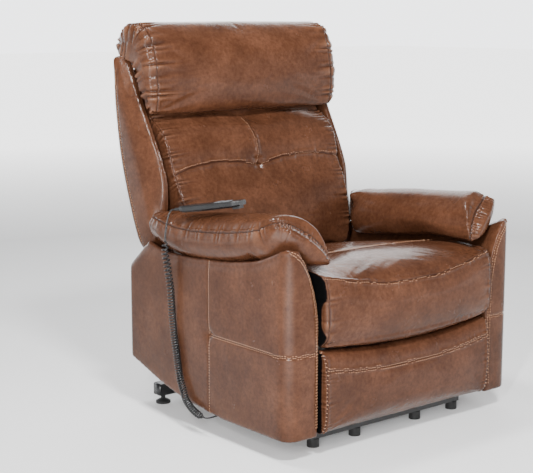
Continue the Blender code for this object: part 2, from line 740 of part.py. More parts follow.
def make_footrest():
    """Steel tray with side brackets, and the upholstered pad in front of it."""
    hinge = on_axis(FOOT_PIVOT)
    tray = add_part(
        "footrest_tray", box_mesh((-0.2620, -0.3617, 0.070), (0.2620, -0.3470, 0.258)),
        "black_steel", hinge,
    )
    bracket = wrapped([(-0.3535, 0.250), (-0.3535, 0.175), FOOT_PIVOT, GUIDE_END], 0.0070)
    for sign in (1, -1):
        ends = sorted((sign * DRIVE_X[0], sign * DRIVE_X[1]))
        join(tray, plate_mesh(bracket, ends))
        join(tray, pin_mesh(FOOT_PIVOT, sign * 0.2630, sign * 0.2695, RIVET, 12))
        join(tray, pin_mesh(GUIDE_END, sign * 0.2571, sign * 0.2630, RIVET, 12))
    profile = (
        (-0.3634, 0.258), (-0.3634, 0.160), (-0.3634, 0.057), (-0.392, 0.052), (-0.415, 0.062),
        (-0.422, 0.110), (-0.424, 0.180), (-0.422, 0.236), (-0.408, 0.264), (-0.385, 0.266),
    )
    half = CUSHION_HALF
    stations = ((-half, 0.94), (-half + 0.012, 1.0), (0.0, 1.0), (half - 0.012, 1.0), (half, 0.94))
    pad = add_part("footrest_pad", loft_mesh(cushion_rings(profile, stations)), "leather", hinge)
    soften(pad)


# ---------------------------------------------------------------- handset and its cord


def handset_frame():
    """Frame at the handset's cord end: local X along it, local Z out of its top."""
    along = (HANDSET_FRONT_END - HANDSET_CORD_END).normalized()
    across = Vector((0.0, 0.0, 1.0)).cross(along).normalized()
    up = along.cross(across)
    turn = Matrix((along, across, up)).transposed().to_4x4()
    return Matrix.Translation(HANDSET_CORD_END) @ turn


def make_handset():
    frame = handset_frame()
    length = (HANDSET_FRONT_END - HANDSET_CORD_END).length
    stations = ((0.0, 0.62, 0.008), (0.012, 0.86, 0.010), (0.070, 1.0, 0.011), (length - 0.020, 0.96, 0.009),
                (length, 0.74, 0.006))
    rings = []
    for along, width, height in stations:
        half = HANDSET_WIDTH / 2 * width
        bevel = min(0.005, height * 0.5)
        ring = [(-half, -height + bevel), (-half + bevel, -height), (half - bevel, -height),
                (half, -height + bevel), (half, 0.006 - bevel * 0.5), (half - bevel, 0.007),
                (-half + bevel, 0.007), (-half, 0.006 - bevel * 0.5)]
        rings.append([(along, y, z) for y, z in ring])
    case = add_part("handset_case", placed(loft_mesh(rings), frame), "black_plastic", HANDSET_CORD_END)
    clip = box_mesh((length - 0.026, -0.012, -0.014), (length - 0.006, 0.012, -0.004))
    join(case, placed(clip, frame))
    long_side, short_side, thick = BUTTON_SIZE
    top = 0.007
    for name, along, across in (
        ("lift_up", 0.142, 0.0085), ("lift_down", 0.142, -0.0085),
        ("back_up", 0.118, 0.0085), ("back_down", 0.118, -0.0085),
    ):
        low = (along - long_side / 2, across - short_side / 2, top + BUTTON_PROUD - thick)
        high = (along + long_side / 2, across + short_side / 2, top + BUTTON_PROUD)
        button = placed(box_mesh(low, high), frame)
        middle = frame @ Vector((along, across, top))
        add_part(f"handset_button_{name}", button, "grey_plastic", middle)
        slot_low = (low[0] - TOUCH, low[1] - TOUCH, low[2] - 0.0020)
        slot_high = (high[0] + TOUCH, high[1] + TOUCH, top + 0.01)
        cut(case, placed(box_mesh(slot_low, slot_high), frame))
    relief = rod_mesh((-TOUCH, 0.0, -0.001), (-0.022, 0.0, -0.001), 0.0052, 12, 0.0034)
    add_part("handset_strain_relief", placed(relief, frame), "rubber", HANDSET_CORD_END)


def smooth_route(points, spacing):
    """Evenly spaced points on a Catmull-Rom curve through a cord's route points."""
    knots = [Vector(p) for p in points]
    knots = [2 * knots[0] - knots[1]] + knots + [2 * knots[-1] - knots[-2]]
    fine = []
    for a, b, c, d in zip(knots, knots[1:], knots[2:], knots[3:]):
        for i in range(40):
            t = i / 40
            fine.append(
                0.5 * ((2 * b) + (c - a) * t + (2 * a - 5 * b + 4 * c - d) * t**2
                       + (3 * b - a - 3 * c + d) * t**3)
            )
    fine.append(knots[-2])
    total = sum((q - p).length for p, q in zip(fine, fine[1:]))
    count = max(2, round(total / spacing))
    route, walked, target = [fine[0]], 0.0, total / count
    for p, q in zip(fine, fine[1:]):
        step = (q - p).length
        while walked + step >= target and len(route) < count:
            route.append(p.lerp(q, (target - walked) / step))
            target += total / count
        walked += step
    route.append(fine[-1])
    return route


def add_cord(name, points, radius, spacing, resolution, finish):
    """A cord as a bevelled curve with closed ends."""
    curve = bpy.data.curves.new(name, "CURVE")
    curve.dimensions = "3D"
    curve.bevel_depth = radius
    curve.bevel_resolution = resolution
    curve.use_fill_caps = True
    route = smooth_route(points, spacing)
    spline = curve.splines.new("POLY")
    spline.points.add(len(route) - 1)
    for point, place in zip(spline.points, route):
        point.co = (*place, 1.0)
    obj = bpy.data.objects.new(name, curve)
    bpy.data.collections[COLLECTION].objects.link(obj)
    paint(obj, finish)


def make_cord():
    """Handset cord: straight over the pad, curled down the side, then a lead to its gland."""
    start = handset_frame() @ Vector((-0.022 - TOUCH, 0.0, -0.001))
    straight = [
        tuple(start), (-0.4108, 0.0745, 0.5838), (-0.4160, 0.0780, 0.5755), (-0.4205, 0.0785, 0.5640),
        (-0.4255, 0.0780, 0.5490), (-0.4300, 0.0768, 0.5330), (-0.4330, 0.0755, 0.5200),
        (-0.4335, 0.0745, 0.5075),
    ]
    curled = [
        (-0.4335, 0.0745, 0.5067), (-0.4335, 0.0755, 0.4700), (-0.4315, 0.0690, 0.4300),
        (-0.4280, 0.0615, 0.3730), (-0.4250, 0.0600, 0.3140), (-0.4225, 0.0565, 0.2540),
        (-0.4215, 0.0455, 0.1950), (-0.4215, 0.0335, 0.1370), (-0.4220, 0.0170, 0.1020),
        (-0.4240, 0.0020, 0.0790), (-0.4260, -0.0240, 0.0630), (-0.4270, -0.0520, 0.0535),
        (-0.4270, -0.0800, 0.0500),
    ]
    lead = [
        (-0.4270, -0.0810, 0.0499), (-0.4255, -0.0880, 0.0492), (-0.4190, -0.0930, 0.0492),
        (-0.4080, -0.0945, 0.0496), (-0.3900, -0.0925, 0.0500), (-0.3620, -0.0850, 0.0500),
        (-0.3370, -0.0720, 0.0502), (-0.3170, -0.0530, 0.0515), (-0.3020, -0.0270, 0.0640),
        (-0.2930, 0.0060, 0.0800), (-0.2905, 0.0260, 0.0915), (-0.2900, 0.0300, 0.1035),
    ]
    add_cord("handset_cord_straight", straight, WIRE_RADIUS, 0.008, 2, "black_plastic")
    add_cord("handset_cord_curled", curled, CURL_RADIUS, 0.022, 2, "black_plastic")
    add_cord("handset_cord_lead", lead, WIRE_RADIUS, 0.009, 2, "black_plastic")


def main():
    clear_scene()
    make_base()
    make_lift_frame()
    make_actuator("lift", LIFT_ANCHOR, LIFT_TIP, LIFT_X, (0.285, 0.0125, 0.048, 1), (0.010, 0.0135, 0.0095))
    make_chassis()
    make_arm_panels()
    make_arm_pads()
    make_seat_cushion()
    make_backrest()
    make_actuator("back", BACK_ANCHOR, BACK_TIP, BACK_X, (0.207, 0.0115, 0.038, -1), (0.014, 0.0190, 0.0145))
    make_footrest_links()
    make_footrest()
    make_handset()
    make_cord()


main()
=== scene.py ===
"""Looks of the lift recliner chair: camera, light, leather upholstery, steel and cord."""

import json
import math

import bmesh
import bpy
import numpy as np
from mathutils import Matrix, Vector
from mathutils.bvhtree import BVHTree
from mathutils.kdtree import KDTree


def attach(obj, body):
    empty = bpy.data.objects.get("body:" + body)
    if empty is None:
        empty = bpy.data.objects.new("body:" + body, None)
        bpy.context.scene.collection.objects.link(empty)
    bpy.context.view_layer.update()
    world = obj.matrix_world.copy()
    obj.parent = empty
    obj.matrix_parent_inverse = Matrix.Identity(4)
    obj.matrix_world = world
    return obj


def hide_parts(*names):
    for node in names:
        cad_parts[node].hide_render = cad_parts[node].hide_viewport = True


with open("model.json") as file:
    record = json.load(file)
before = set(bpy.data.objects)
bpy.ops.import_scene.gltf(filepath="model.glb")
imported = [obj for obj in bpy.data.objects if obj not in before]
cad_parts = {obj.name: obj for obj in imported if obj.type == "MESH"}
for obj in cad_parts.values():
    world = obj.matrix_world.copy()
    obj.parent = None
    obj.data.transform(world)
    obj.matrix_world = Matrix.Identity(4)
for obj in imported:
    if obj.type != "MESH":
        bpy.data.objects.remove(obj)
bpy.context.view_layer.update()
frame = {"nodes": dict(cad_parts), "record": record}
NODES = frame["nodes"]

BACK_LEAN = math.radians(20.0)
VOXEL = 0.006
SIDES = (("left", 1), ("right", -1))


def mm(rows):
    """A table written in millimetres, as rows in metres."""
    return np.asarray(rows, float) / 1000


# ---- camera, light and floor


CAMERA_PLACE = (-2.3957, -2.7396, 1.1)
CAMERA_DOWN, CAMERA_TURN = 9.72, -39.4
AWAY_FROM_CAMERA = (0.635, 0.773, 0.0)
FLOOR_REACH = 30.0
GLOW_SPOT = (-1.75, -1.45, 0.0)
LIGHTS = (
    # name, place, aim, size, watts
    ("key", (-2.95, -2.45, 1.55), (0.0, -0.1, 0.75), (0.14, 1.9), 175),
    ("top", (-0.6, 0.6, 3.1), (0.0, 0.0, 0.6), (0.5, 0.5), 60),
    ("rear", (2.3, 2.1, 2.6), (0.0, 0.0, 0.9), (2.2, 1.5), 42),
    ("front", (-0.9, -1.9, 2.9), (0.0, 0.0, 0.7), (0.5, 0.4), 125),
    ("low", (0.0, -3.7, 1.95), (0.0, 0.0, 0.8), (1.1, 0.4), 22),
)


def add_object(name, data):
    obj = bpy.data.objects.new(name, data)
    bpy.context.scene.collection.objects.link(obj)
    return obj


def make_stage():
    make_camera()
    make_floor()
    make_world()
    for light in LIGHTS:
        area_light(*light)


def make_camera():
    camera = bpy.data.cameras.new("camera")
    camera.lens = 87.9
    camera.sensor_width = 36.0
    obj = add_object("camera", camera)
    obj.location = CAMERA_PLACE
    obj.rotation_euler = (math.radians(90.0 - CAMERA_DOWN), 0.0, math.radians(CAMERA_TURN))
    bpy.context.scene.camera = obj


def make_floor():
    """Pale ground that glows far off, and in one spot that lights the corner of the near arm."""
    corners = [(x, y, 0.0) for y in (-FLOOR_REACH, FLOOR_REACH) for x in (-FLOOR_REACH, FLOOR_REACH)]
    floor = mesh_object("floor", corners, [(0, 1, 3, 2)])
    floor.location.z = -0.0005
    material, tree, shader = new_material("floor", (0.8, 0.8, 0.8), 0.8)
    place = add_node(tree, "TexCoord", {}, "Object")
    away = add_node(tree, "VectorMath", {0: place}, "Value", operation="LENGTH")
    glow = range_node(tree, away, 0.14, 2.6, 3.0, 7.5)
    to_spot = add_node(tree, "VectorMath", {0: place, 1: GLOW_SPOT}, "Value", operation="DISTANCE")
    pool = range_node(tree, to_spot, 8.0, 0.0, 0.1, 1.3)
    strength = add_node(tree, "Math", {0: glow, 1: pool}, operation="ADD")
    feed(tree, shader, {"Emission Color": (1.0, 1.0, 1.0, 1.0), "Emission Strength": strength})
    floor.data.materials.append(material)


def make_world():
    """Dim air with a bright low wall on the far side of the chair."""
    world = bpy.data.worlds.new("studio")
    world.use_nodes = True
    tree = world.node_tree
    direction = add_node(tree, "TexCoord", {}, "Generated")
    height = add_node(tree, "SeparateXYZ", {"Vector": direction}, "Z")
    low = range_node(tree, height, 1.0, 0.0, 0.22, 0.5)
    facing = add_node(
        tree, "VectorMath", {0: direction, 1: AWAY_FROM_CAMERA}, "Value", operation="DOT_PRODUCT"
    )
    wall = range_node(tree, facing, 0.22, 1.0, 0.1, 0.7)
    both = add_node(tree, "Math", {0: low, 1: wall}, operation="MULTIPLY")
    strength = range_node(tree, both, 0.28, 3.4)
    feed(tree, tree.nodes["Background"], {"Color": (0.97, 0.98, 1.0, 1.0), "Strength": strength})
    bpy.context.scene.world = world


def area_light(name, place, target, size, power):
    light = bpy.data.lights.new(name, "AREA")
    light.shape = "RECTANGLE"
    light.size, light.size_y = size
    light.energy = power
    obj = add_object(name, light)
    obj.location = place
    aim = Vector(target) - Vector(place)
    obj.rotation_euler = aim.to_track_quat("-Z", "Y").to_euler()


# ---- materials


HIDE_TONES = (
    (0.32, (0.05, 0.019, 0.0093)),
    (0.5, (0.071, 0.0278, 0.0137)),
    (0.7, (0.1, 0.041, 0.0212)),
)
# paler tan painted on the crests of gathers as a painted highlight
CREST_HIGHLIGHT_TONE = (0.27, 0.13, 0.075)
# painted shade laid in seam grooves and in the troughs of gathers
SEAM_SHADE_TONE = (0.018, 0.0065, 0.0035)
# near black for the seat's and footrest's sides: black lining cloth, darkened further as painted shadow of the
# gap beside the arms
LINING_AND_GAP_SHADOW_TONE = (0.0015, 0.0015, 0.0016)


def new_material(name, colour, roughness, metallic=0.0):
    material = bpy.data.materials.new(name)
    material.use_nodes = True
    tree = material.node_tree
    shader = tree.nodes["Principled BSDF"]
    feed(tree, shader, {"Base Color": (*colour, 1.0), "Roughness": roughness, "Metallic": metallic})
    return material, tree, shader


def add_node(tree, kind, inputs, output=0, **settings):
    """One output of a new shader node with the given inputs and settings."""
    node = tree.nodes.new("ShaderNode" + kind)
    for name, value in settings.items():
        setattr(node, name, value)
    feed(tree, node, inputs)
    return node.outputs[output]


def feed(tree, node, inputs):
    """Set a node's inputs, each to a plain value or another node's output."""
    for key, value in inputs.items():
        if isinstance(value, bpy.types.NodeSocket):
            tree.links.new(value, node.inputs[key])
        else:
            node.inputs[key].default_value = value


def noise_node(tree, scale, detail=4.0, rough=0.6, stretch=None):
    """Noise in the object's own space, its coordinates in metres."""
    source = add_node(tree, "TexCoord", {}, "Object")
    if stretch is not None:
        source = add_node(tree, "Mapping", {"Vector": source, "Scale": stretch})
    inputs = {"Vector": source, "Scale": scale, "Detail": detail, "Roughness": rough}
    return add_node(tree, "TexNoise", inputs, "Fac")


def cell_node(tree, scale):
    """Distance to the edges of small cells."""
    source = add_node(tree, "TexCoord", {}, "Object")
    inputs = {"Vector": source, "Scale": scale}
    return add_node(tree, "TexVoronoi", inputs, "Distance", feature="DISTANCE_TO_EDGE")


def ramp_node(tree, source, stops):
    node = tree.nodes.new("ShaderNodeValToRGB")
    ramp = node.color_ramp
    while len(ramp.elements) < len(stops):
        ramp.elements.new(0.5)
    for element, (place, colour) in zip(ramp.elements, stops):
        element.position = place
        element.color = (*colour, 1.0)
    tree.links.new(source, node.inputs["Fac"])
    return node.outputs["Color"]


def range_node(tree, source, low, high, from_low=0.0, from_high=1.0):
    inputs = {"Value": source, "From Min": from_low, "From Max": from_high, "To Min": low, "To Max": high}
    return add_node(tree, "MapRange", inputs, "Result")


def mix_node(tree, kind, factor, first, second):
    """Two colours mixed; the second one is a plain colour where it is a tuple."""
    if isinstance(second, tuple):
        second = (*second, 1.0)
    inputs = {0: factor, 6: first, 7: second}
    return add_node(tree, "Mix", inputs, 2, data_type="RGBA", blend_type=kind)


def blend_value(tree, factor, first, second):
    """A number that goes from first to second with the factor."""
    return add_node(tree, "Mix", {0: factor, 2: first, 3: second}, 0, data_type="FLOAT")


def attribute_node(tree, name):
    return add_node(tree, "Attribute", {}, "Fac", attribute_name=name)


def bump_chain(tree, shader, layers):
    """Bump from several heights; each layer is (height, depth in metres)."""
    inputs = {"Strength": 1.0}
    for height, depth in layers:
        inputs.update({"Distance": depth, "Height": height})
        inputs["Normal"] = add_node(tree, "Bump", inputs, "Normal")
    feed(tree, shader, {"Normal": inputs["Normal"]})


def leather_material():
    """Glossy brown hide with fine pores; painted shade darkens seam grooves and the troughs of gathers, a
    painted highlight lightens the gathers' crests, and near-black sides stand for lining cloth with painted
    shadow of the gap beside the arms.
    """
    material, tree, shader = new_material("leather", (0.12, 0.04, 0.02), 0.36)
    colour = ramp_node(tree, noise_node(tree, 9.0, 7.0, 0.66), HIDE_TONES)
    fine = noise_node(tree, 95.0, 5.0, 0.65)
    speckle = ramp_node(tree, fine, [(0.33, (0.76, 0.74, 0.73)), (0.67, (1.16, 1.16, 1.16))])
    colour = mix_node(tree, "MULTIPLY", 1.0, colour, speckle)
    pores = cell_node(tree, 520.0)
    rims = range_node(tree, pores, 0.0, 1.0, 0.0, 0.25)
    pits = ramp_node(tree, rims, [(0.0, (0.8, 0.78, 0.77)), (0.6, (1.0, 1.0, 1.0))])
    colour = mix_node(tree, "MULTIPLY", 0.8, colour, pits)
    # near-black sides: lining cloth and painted shadow of the gap beside the arms, also made matte and
    # unreflective
    lining_and_gap_shadow = attribute_node(tree, "lining_and_gap_shadow")
    # painted highlight: the crests of gathers lighten towards a paler tan
    crest_highlight = range_node(tree, attribute_node(tree, "painted_crest_highlight"), 0.0, 0.3)
    # painted shade: seam grooves and the troughs of gathers darken towards SEAM_SHADE_TONE
    shade = range_node(tree, attribute_node(tree, "seam"), 0.0, 0.85)
    for share, tone in ((crest_highlight, CREST_HIGHLIGHT_TONE), (shade, SEAM_SHADE_TONE), (lining_and_gap_shadow, LINING_AND_GAP_SHADOW_TONE)):
        colour = mix_node(tree, "MIX", share, colour, tone)
    rough = range_node(tree, noise_node(tree, 15.0, 4.0, 0.6), 0.19, 0.28, 0.3, 0.7)
    feed(tree, shader, {
        "Base Color": colour,
        "Roughness": blend_value(tree, lining_and_gap_shadow, rough, 1.0),
        "Specular IOR Level": blend_value(tree, lining_and_gap_shadow, 0.15, 0.03),
        "Coat Weight": blend_value(tree, lining_and_gap_shadow, 0.08, 0.0),
        "Coat Roughness": 0.12,
    })
    rolling = noise_node(tree, 16.0, 3.0, 0.5)
    creases = noise_node(tree, 70.0, 5.0, 0.6)
    hide = noise_node(tree, 900.0, 3.0, 0.6)
    bump_chain(tree, shader, [(rolling, 0.0024), (creases, 0.0006), (pores, 0.0001), (hide, 0.00004)])
    return material


def thread_material(name, colour):
    """Twisted sewing thread."""
    material, tree, shader = new_material(name, colour, 0.7)
    twist = noise_node(tree, 900.0, 2.0, 0.5)
    darker = tuple(c * 0.6 for c in colour)
    feed(tree, shader, {"Base Color": ramp_node(tree, twist, [(0.35, darker), (0.65, colour)])})
    bump_chain(tree, shader, [(twist, 0.0003)])
    return material


def fabric_material(name, colour):
    """Coarse black lining cloth, with a plain weave."""
    material, tree, shader = new_material(name, colour, 0.92)
    place = add_node(tree, "TexCoord", {}, "Object")
    inputs = {"Vector": place, "Scale": 320.0}
    warp, weft = (add_node(tree, "TexWave", inputs, "Fac", bands_direction=way) for way in ("X", "Z"))
    weave = add_node(tree, "Math", {0: warp, 1: weft}, operation="MAXIMUM")
    lighter = tuple(min(1.0, c * 2.2 + 0.01) for c in colour)
    feed(tree, shader, {"Base Color": ramp_node(tree, weave, [(0.4, colour), (0.9, lighter)])})
    fuzz = noise_node(tree, 500.0, 3.0, 0.6)
    bump_chain(tree, shader, [(weave, 0.0004), (fuzz, 0.0002)])
    return material


def paint_material(name, colour, roughness, grain, depth):
    """Powder coat, moulded plastic or rubber: a fine skin with faint dust and rubbed patches."""
    material, tree, shader = new_material(name, colour, roughness)
    patches = noise_node(tree, 18.0, 5.0, 0.6)
    lighter = tuple(min(1.0, c * 1.7 + 0.006) for c in colour)
    dusty = ramp_node(tree, patches, [(0.38, colour), (0.75, lighter)])
    wear = noise_node(tree, 60.0, 4.0, 0.6)
    rubbed = range_node(tree, wear, roughness - 0.08, roughness + 0.12, 0.3, 0.7)
    feed(tree, shader, {"Base Color": dusty, "Roughness": rubbed})
    bump_chain(tree, shader, [(noise_node(tree, grain, 2.0, 0.5), depth)])
    return material


def brushed_material(name, colour, roughness):
    """Ground or zinc-plated steel, with fine lines round it."""
    material, tree, shader = new_material(name, colour, roughness, 1.0)
    lines = noise_node(tree, 40.0, 4.0, 0.7, (1.0, 30.0, 30.0))
    darker = tuple(c * 0.75 for c in colour)
    ground = ramp_node(tree, lines, [(0.35, darker), (0.65, colour)])
    feed(tree, shader, {
        "Base Color": ground, "Roughness": range_node(tree, lines, roughness - 0.06, roughness + 0.12)
    })
    bump_chain(tree, shader, [(lines, 0.00005)])
    return material


# ---- mesh helpers


def mesh_object(name, verts, faces):
    mesh = bpy.data.meshes.new(name)
    mesh.from_pydata([tuple(v) for v in verts], [], [tuple(f) for f in faces])
    mesh.update()
    mesh.shade_smooth()
    return add_object(name, mesh)


def dress(obj, material, body, node=None):
    """Give a piece its material and its body, and the leather CAD node that it stands for."""
    obj.data.materials.append(material)
    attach(obj, body)
    if node:
        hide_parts(node)


def ring_faces(rings, count, start=0):
    """Quads between closed rings of count points each."""
    faces = []
    for first in range(start, start + (rings - 1) * count, count):
        for i in range(count):
            a, b = first + i, first + (i + 1) % count
            faces.append((a, b, b + count, a + count))
    return faces


def run_length(points):
    """Length along a line at each of its points."""
    steps = np.linalg.norm(np.diff(points, axis=0), axis=1)
    return np.concatenate([[0], np.cumsum(steps)])


def directions(points):
    """Unit direction of a line at each of its points."""
    slopes = np.gradient(points, axis=0)
    return slopes / (np.linalg.norm(slopes, axis=1)[:, None] + 1e-12)


def curve_through(points, count, closed=False):
    """count points on a Catmull-Rom curve through rows of points, of any width."""
    points = np.asarray(points, float)
    n = len(points)
    spans = n if closed else n - 1
    t = np.linspace(0, spans, count, endpoint=not closed)
    k = np.minimum(t.astype(int), spans - 1)
    f = (t - k).reshape((-1,) + (1,) * (points.ndim - 1))
    if closed:
        a, b, c, d = (points[(k + i) % n] for i in (-1, 0, 1, 2))
    else:
        first, last = 2 * points[:1] - points[1:2], 2 * points[-1:] - points[-2:-1]
        padded = np.concatenate([first, points, last])
        a, b, c, d = (padded[k + i] for i in (0, 1, 2, 3))
    square, cube = 2 * a - 5 * b + 4 * c - d, 3 * b - a - 3 * c + d
    return 0.5 * (2 * b + (c - a) * f + square * f**2 + cube * f**3)


def even_points(points, spacing, closed=False):
    """Points at an even spacing along the smooth curve through a few points."""
    fine = curve_through(points, 40 * len(points), closed)
    if closed:
        fine = np.concatenate([fine, fine[:1]])
    along = run_length(fine)
    count = max(3, int(round(along[-1] / spacing)) + 1)
    return at_lengths(fine, along, np.linspace(0, along[-1], count))


def at_lengths(points, along, places):
    return np.stack([np.interp(places, along, column) for column in points.T], axis=1)


def loft(name, key_rings, around, along):
    """A closed skin, smooth both ways, through a few key rings of points."""
    rings = curve_through(np.asarray(key_rings, float), along)
    dense = np.stack([curve_through(ring, around, True) for ring in rings])
    verts = dense.reshape(-1, 3)
    faces = ring_faces(along, around)
    centres = np.array([dense[0].mean(0), dense[-1].mean(0)])
    first, last = len(verts), len(verts) + 1
    for i in range(around):
        k = (i + 1) % around
        faces.append((first, k, i))
        faces.append((last, (along - 1) * around + i, (along - 1) * around + k))
    obj = mesh_object(name, np.concatenate([verts, centres]), faces)
    face_outwards(obj.data)
    return obj


def face_outwards(mesh):
    bm = bmesh.new()
    bm.from_mesh(mesh)
    bmesh.ops.recalc_face_normals(bm, faces=bm.faces)
    if bm.calc_volume(signed=True) < 0:
        bmesh.ops.reverse_faces(bm, faces=bm.faces)
    bm.to_mesh(mesh)
    bm.free()


def bake_modifiers(obj):
    """Put a piece's modified mesh in place of its own."""
    bpy.context.view_layer.update()
    depsgraph = bpy.context.evaluated_depsgraph_get()
    mesh = bpy.data.meshes.new_from_object(obj.evaluated_get(depsgraph))
    obj.modifiers.clear()
    obj.data = mesh
    mesh.shade_smooth()


def even_mesh(obj, fineness, rounds):
    """Rebuild a skin as even quads, with its edges softened."""
    remesh = obj.modifiers.new("remesh", "REMESH")
    remesh.mode = "VOXEL"
    remesh.voxel_size = fineness
    smooth = obj.modifiers.new("smooth", "SMOOTH")
    smooth.factor = 0.5
    smooth.iterations = rounds
    bake_modifiers(obj)


def vertex_rows(mesh, kind):
    """The vertices' places (co) or their normals (normal), one row each."""
    values = np.empty(len(mesh.vertices) * 3)
    mesh.vertices.foreach_get(kind, values)
    return values.reshape(-1, 3)


def mark(mesh, name, values):
    """Store a number at each vertex for the material to read."""
    attribute = mesh.attributes.new(name, "FLOAT", "POINT")
    attribute.data.foreach_set("value", values.astype(np.float32))


def move_to(mesh, places):
    mesh.vertices.foreach_set("co", places.ravel())
    mesh.update()


def surface_tree(mesh):
    bm = bmesh.new()
    bm.from_mesh(mesh)
    tree = BVHTree.FromBMesh(bm)
    bm.free()
    return tree


def snapped(tree, points):
    """Points moved onto a surface, with the surface's normals there."""
    hits = [tree.find_nearest(Vector(p)) for p in points]
    return np.array([h[0] for h in hits]), np.array([h[1] for h in hits])


# ---- sewing


class Seam:
    """A sewn line: points that it runs through, and how it draws the leather in."""

    def __init__(self, points, depth, width, gather, period, reach, sides=(1.0, 1.0), closed=False, shade=1.0):
        self.points = even_points(points, 0.003, closed)
        self.depth, self.width = depth, width
        self.gather, self.period, self.reach = gather, period, reach
        self.sides, self.shade = sides, shade

    def lay_on(self, tree):
        self.points, self.normals = snapped(tree, self.points)
        self.tangents = directions(self.points)
        self.along = run_length(self.points)

    def measure(self, places, limit):
        """For each place: distance across the seam, length along it, and the side it is on."""
        finder = KDTree(len(self.points))
        for i, point in enumerate(self.points):
            finder.insert(point, i)
        finder.balance()
        low, high = self.points.min(0) - limit, self.points.max(0) + limit
        near = np.nonzero(((places > low) & (places < high)).all(1))[0]
        index = np.array([finder.find(places[i])[1] for i in near], int)
        if not len(near):
            return near, near, near, near
        offset = places[near] - self.points[index]
        tangent = self.tangents[index]
        forward = (offset * tangent).sum(1)
        across = np.linalg.norm(offset - forward[:, None] * tangent, axis=1)
        over = np.maximum(0, np.abs(forward) - 0.004)
        distance = np.sqrt(across**2 + over**2)
        side = np.sign((offset * np.cross(self.normals[index], tangent)).sum(1))
        return near, distance, self.along[index] + np.clip(forward, -0.003, 0.003), side


def bell(distance, width):
    """One at no distance, falling off smoothly over the width."""
    return np.exp(-((distance / width) ** 2))


def gathers(seam, number, distance, along, side):
    """Height of the folds that a seam gathers, from sines of unlike lengths so that no two match."""
    amount = np.where(side > 0, seam.sides[0], seam.sides[1]) * seam.gather
    wander = 1.4 * np.sin(along * 61 + number) + 1.1 * np.sin(along * 143 + 2 * number)
    lean = side * distance * 14.0
    phase = 2 * np.pi * along / seam.period + (wander + lean)
    fold = np.abs(np.cos(phase / 2)) ** 1.5 * 2 - 1
    strength = 0.55 + 0.45 * np.sin(along * 87 + 1.7 * number)
    reach = seam.reach * (0.6 + 0.5 * np.sin(along * 113 + number) ** 2)
    fade = np.exp(-((distance / reach) ** 1.4)) * (1 - bell(distance, 0.0035))
    return amount * strength * fade * fold


def sew(obj, seams, tufts=()):
    """Press seams, gathers and tufts into a finished skin, and mark painted shade along seam grooves and
    gather troughs, and a painted highlight on gather crests, for the material.
    """
    mesh = obj.data
    tree = surface_tree(mesh)
    places, outward = vertex_rows(mesh, "co"), vertex_rows(mesh, "normal")
    height = np.zeros(len(places))
    # dark holds painted shade for seam grooves and gather troughs
    dark = np.zeros(len(places))
    # light holds a painted highlight for gather crests
    light = np.zeros(len(places))
    for number, seam in enumerate(seams):
        seam.lay_on(tree)
        near, distance, along, side = seam.measure(places, seam.reach * 3 + 0.02)
        if not len(near):
            continue
        height[near] -= seam.depth * bell(distance, seam.width)
        # painted shade along the seam's groove
        dark[near] = np.maximum(dark[near], seam.shade * bell(distance, seam.width * 0.55))
        wave = gathers(seam, number, distance, along, side)
        height[near] += wave
        # painted highlight on the crests of the gathers
        light[near] += np.clip(wave / 0.004, 0, 1)
        # painted shade in the troughs of the gathers
        dark[near] = np.maximum(dark[near], np.clip(-wave / 0.0045, 0, 0.7))
    for centre, depth, radius in tufts:
        centre, _ = snapped(tree, [centre])
        distance = np.linalg.norm(places - centre[0], axis=1)
        height -= depth * bell(distance, radius) + depth * 0.5 * np.exp(-distance / radius / 0.8)
    move_to(mesh, places + outward * height[:, None])
    # the painted shade goes to the material in the seam attribute
    mark(mesh, "seam", dark)
    # the painted highlight on gather crests goes to the material as its own attribute
    mark(mesh, "painted_crest_highlight", np.clip(light, 0, 1))


def stitches(name, host, lines, material, body, pitch=0.0075, length=0.0055, radius=0.0008, whip=False):
    """Thread laid on a skin: each line is (points, offset to the side); whip lays it over a seam."""
    tree = surface_tree(host.data)
    verts, faces = [], []
    for points, offset in lines:
        route, face_normals = snapped(tree, even_points(points, pitch))
        tangents = directions(route)
        if offset:
            route = route + np.cross(face_normals, tangents) * offset
            route, face_normals = snapped(tree, route)
        for place, tangent, up in zip(route, tangents, face_normals):
            if whip:
                tangent = np.cross(up, tangent) + tangent * 0.35
                tangent = tangent / np.linalg.norm(tangent)
            add_stitch(verts, faces, place, tangent, up, length, radius)
    dress(mesh_object(name, verts, faces), material, body)


def add_stitch(verts, faces, place, tangent, up, length, radius, sides=5):
    """One stitch: a short rod with pointed ends that dip into the leather."""
    across = np.cross(up, tangent)
    start = len(verts)
    shape = ((-0.5, 0.25, -0.6), (-0.28, 1.0, 0.25), (0.28, 1.0, 0.25), (0.5, 0.25, -0.6))
    for along, scale, lift in shape:
        centre = place + tangent * along * length + up * radius * lift
        for k in range(sides):
            angle = 2 * math.pi * k / sides
            verts.append(centre + (across * math.cos(angle) + up * math.sin(angle)) * radius * scale)
    faces.extend(ring_faces(len(shape), sides, start))
    faces.append(tuple(start + k for k in reversed(range(sides))))
    faces.append(tuple(start + 3 * sides + k for k in range(sides)))


def tube(name, points, radius, material, body):
    """A smooth round cord through points."""
    curve = bpy.data.curves.new(name, "CURVE")
    curve.dimensions = "3D"
    curve.bevel_depth = radius
    curve.bevel_resolution = 2
    curve.use_fill_caps = True
    spline = curve.splines.new("POLY")
    spline.points.add(len(points) - 1)
    for point, place in zip(spline.points, points):
        point.co = (*place, 1.0)
    obj = add_object(name, curve)
    dress(obj, material, body)
    return obj


# ---- padded pieces


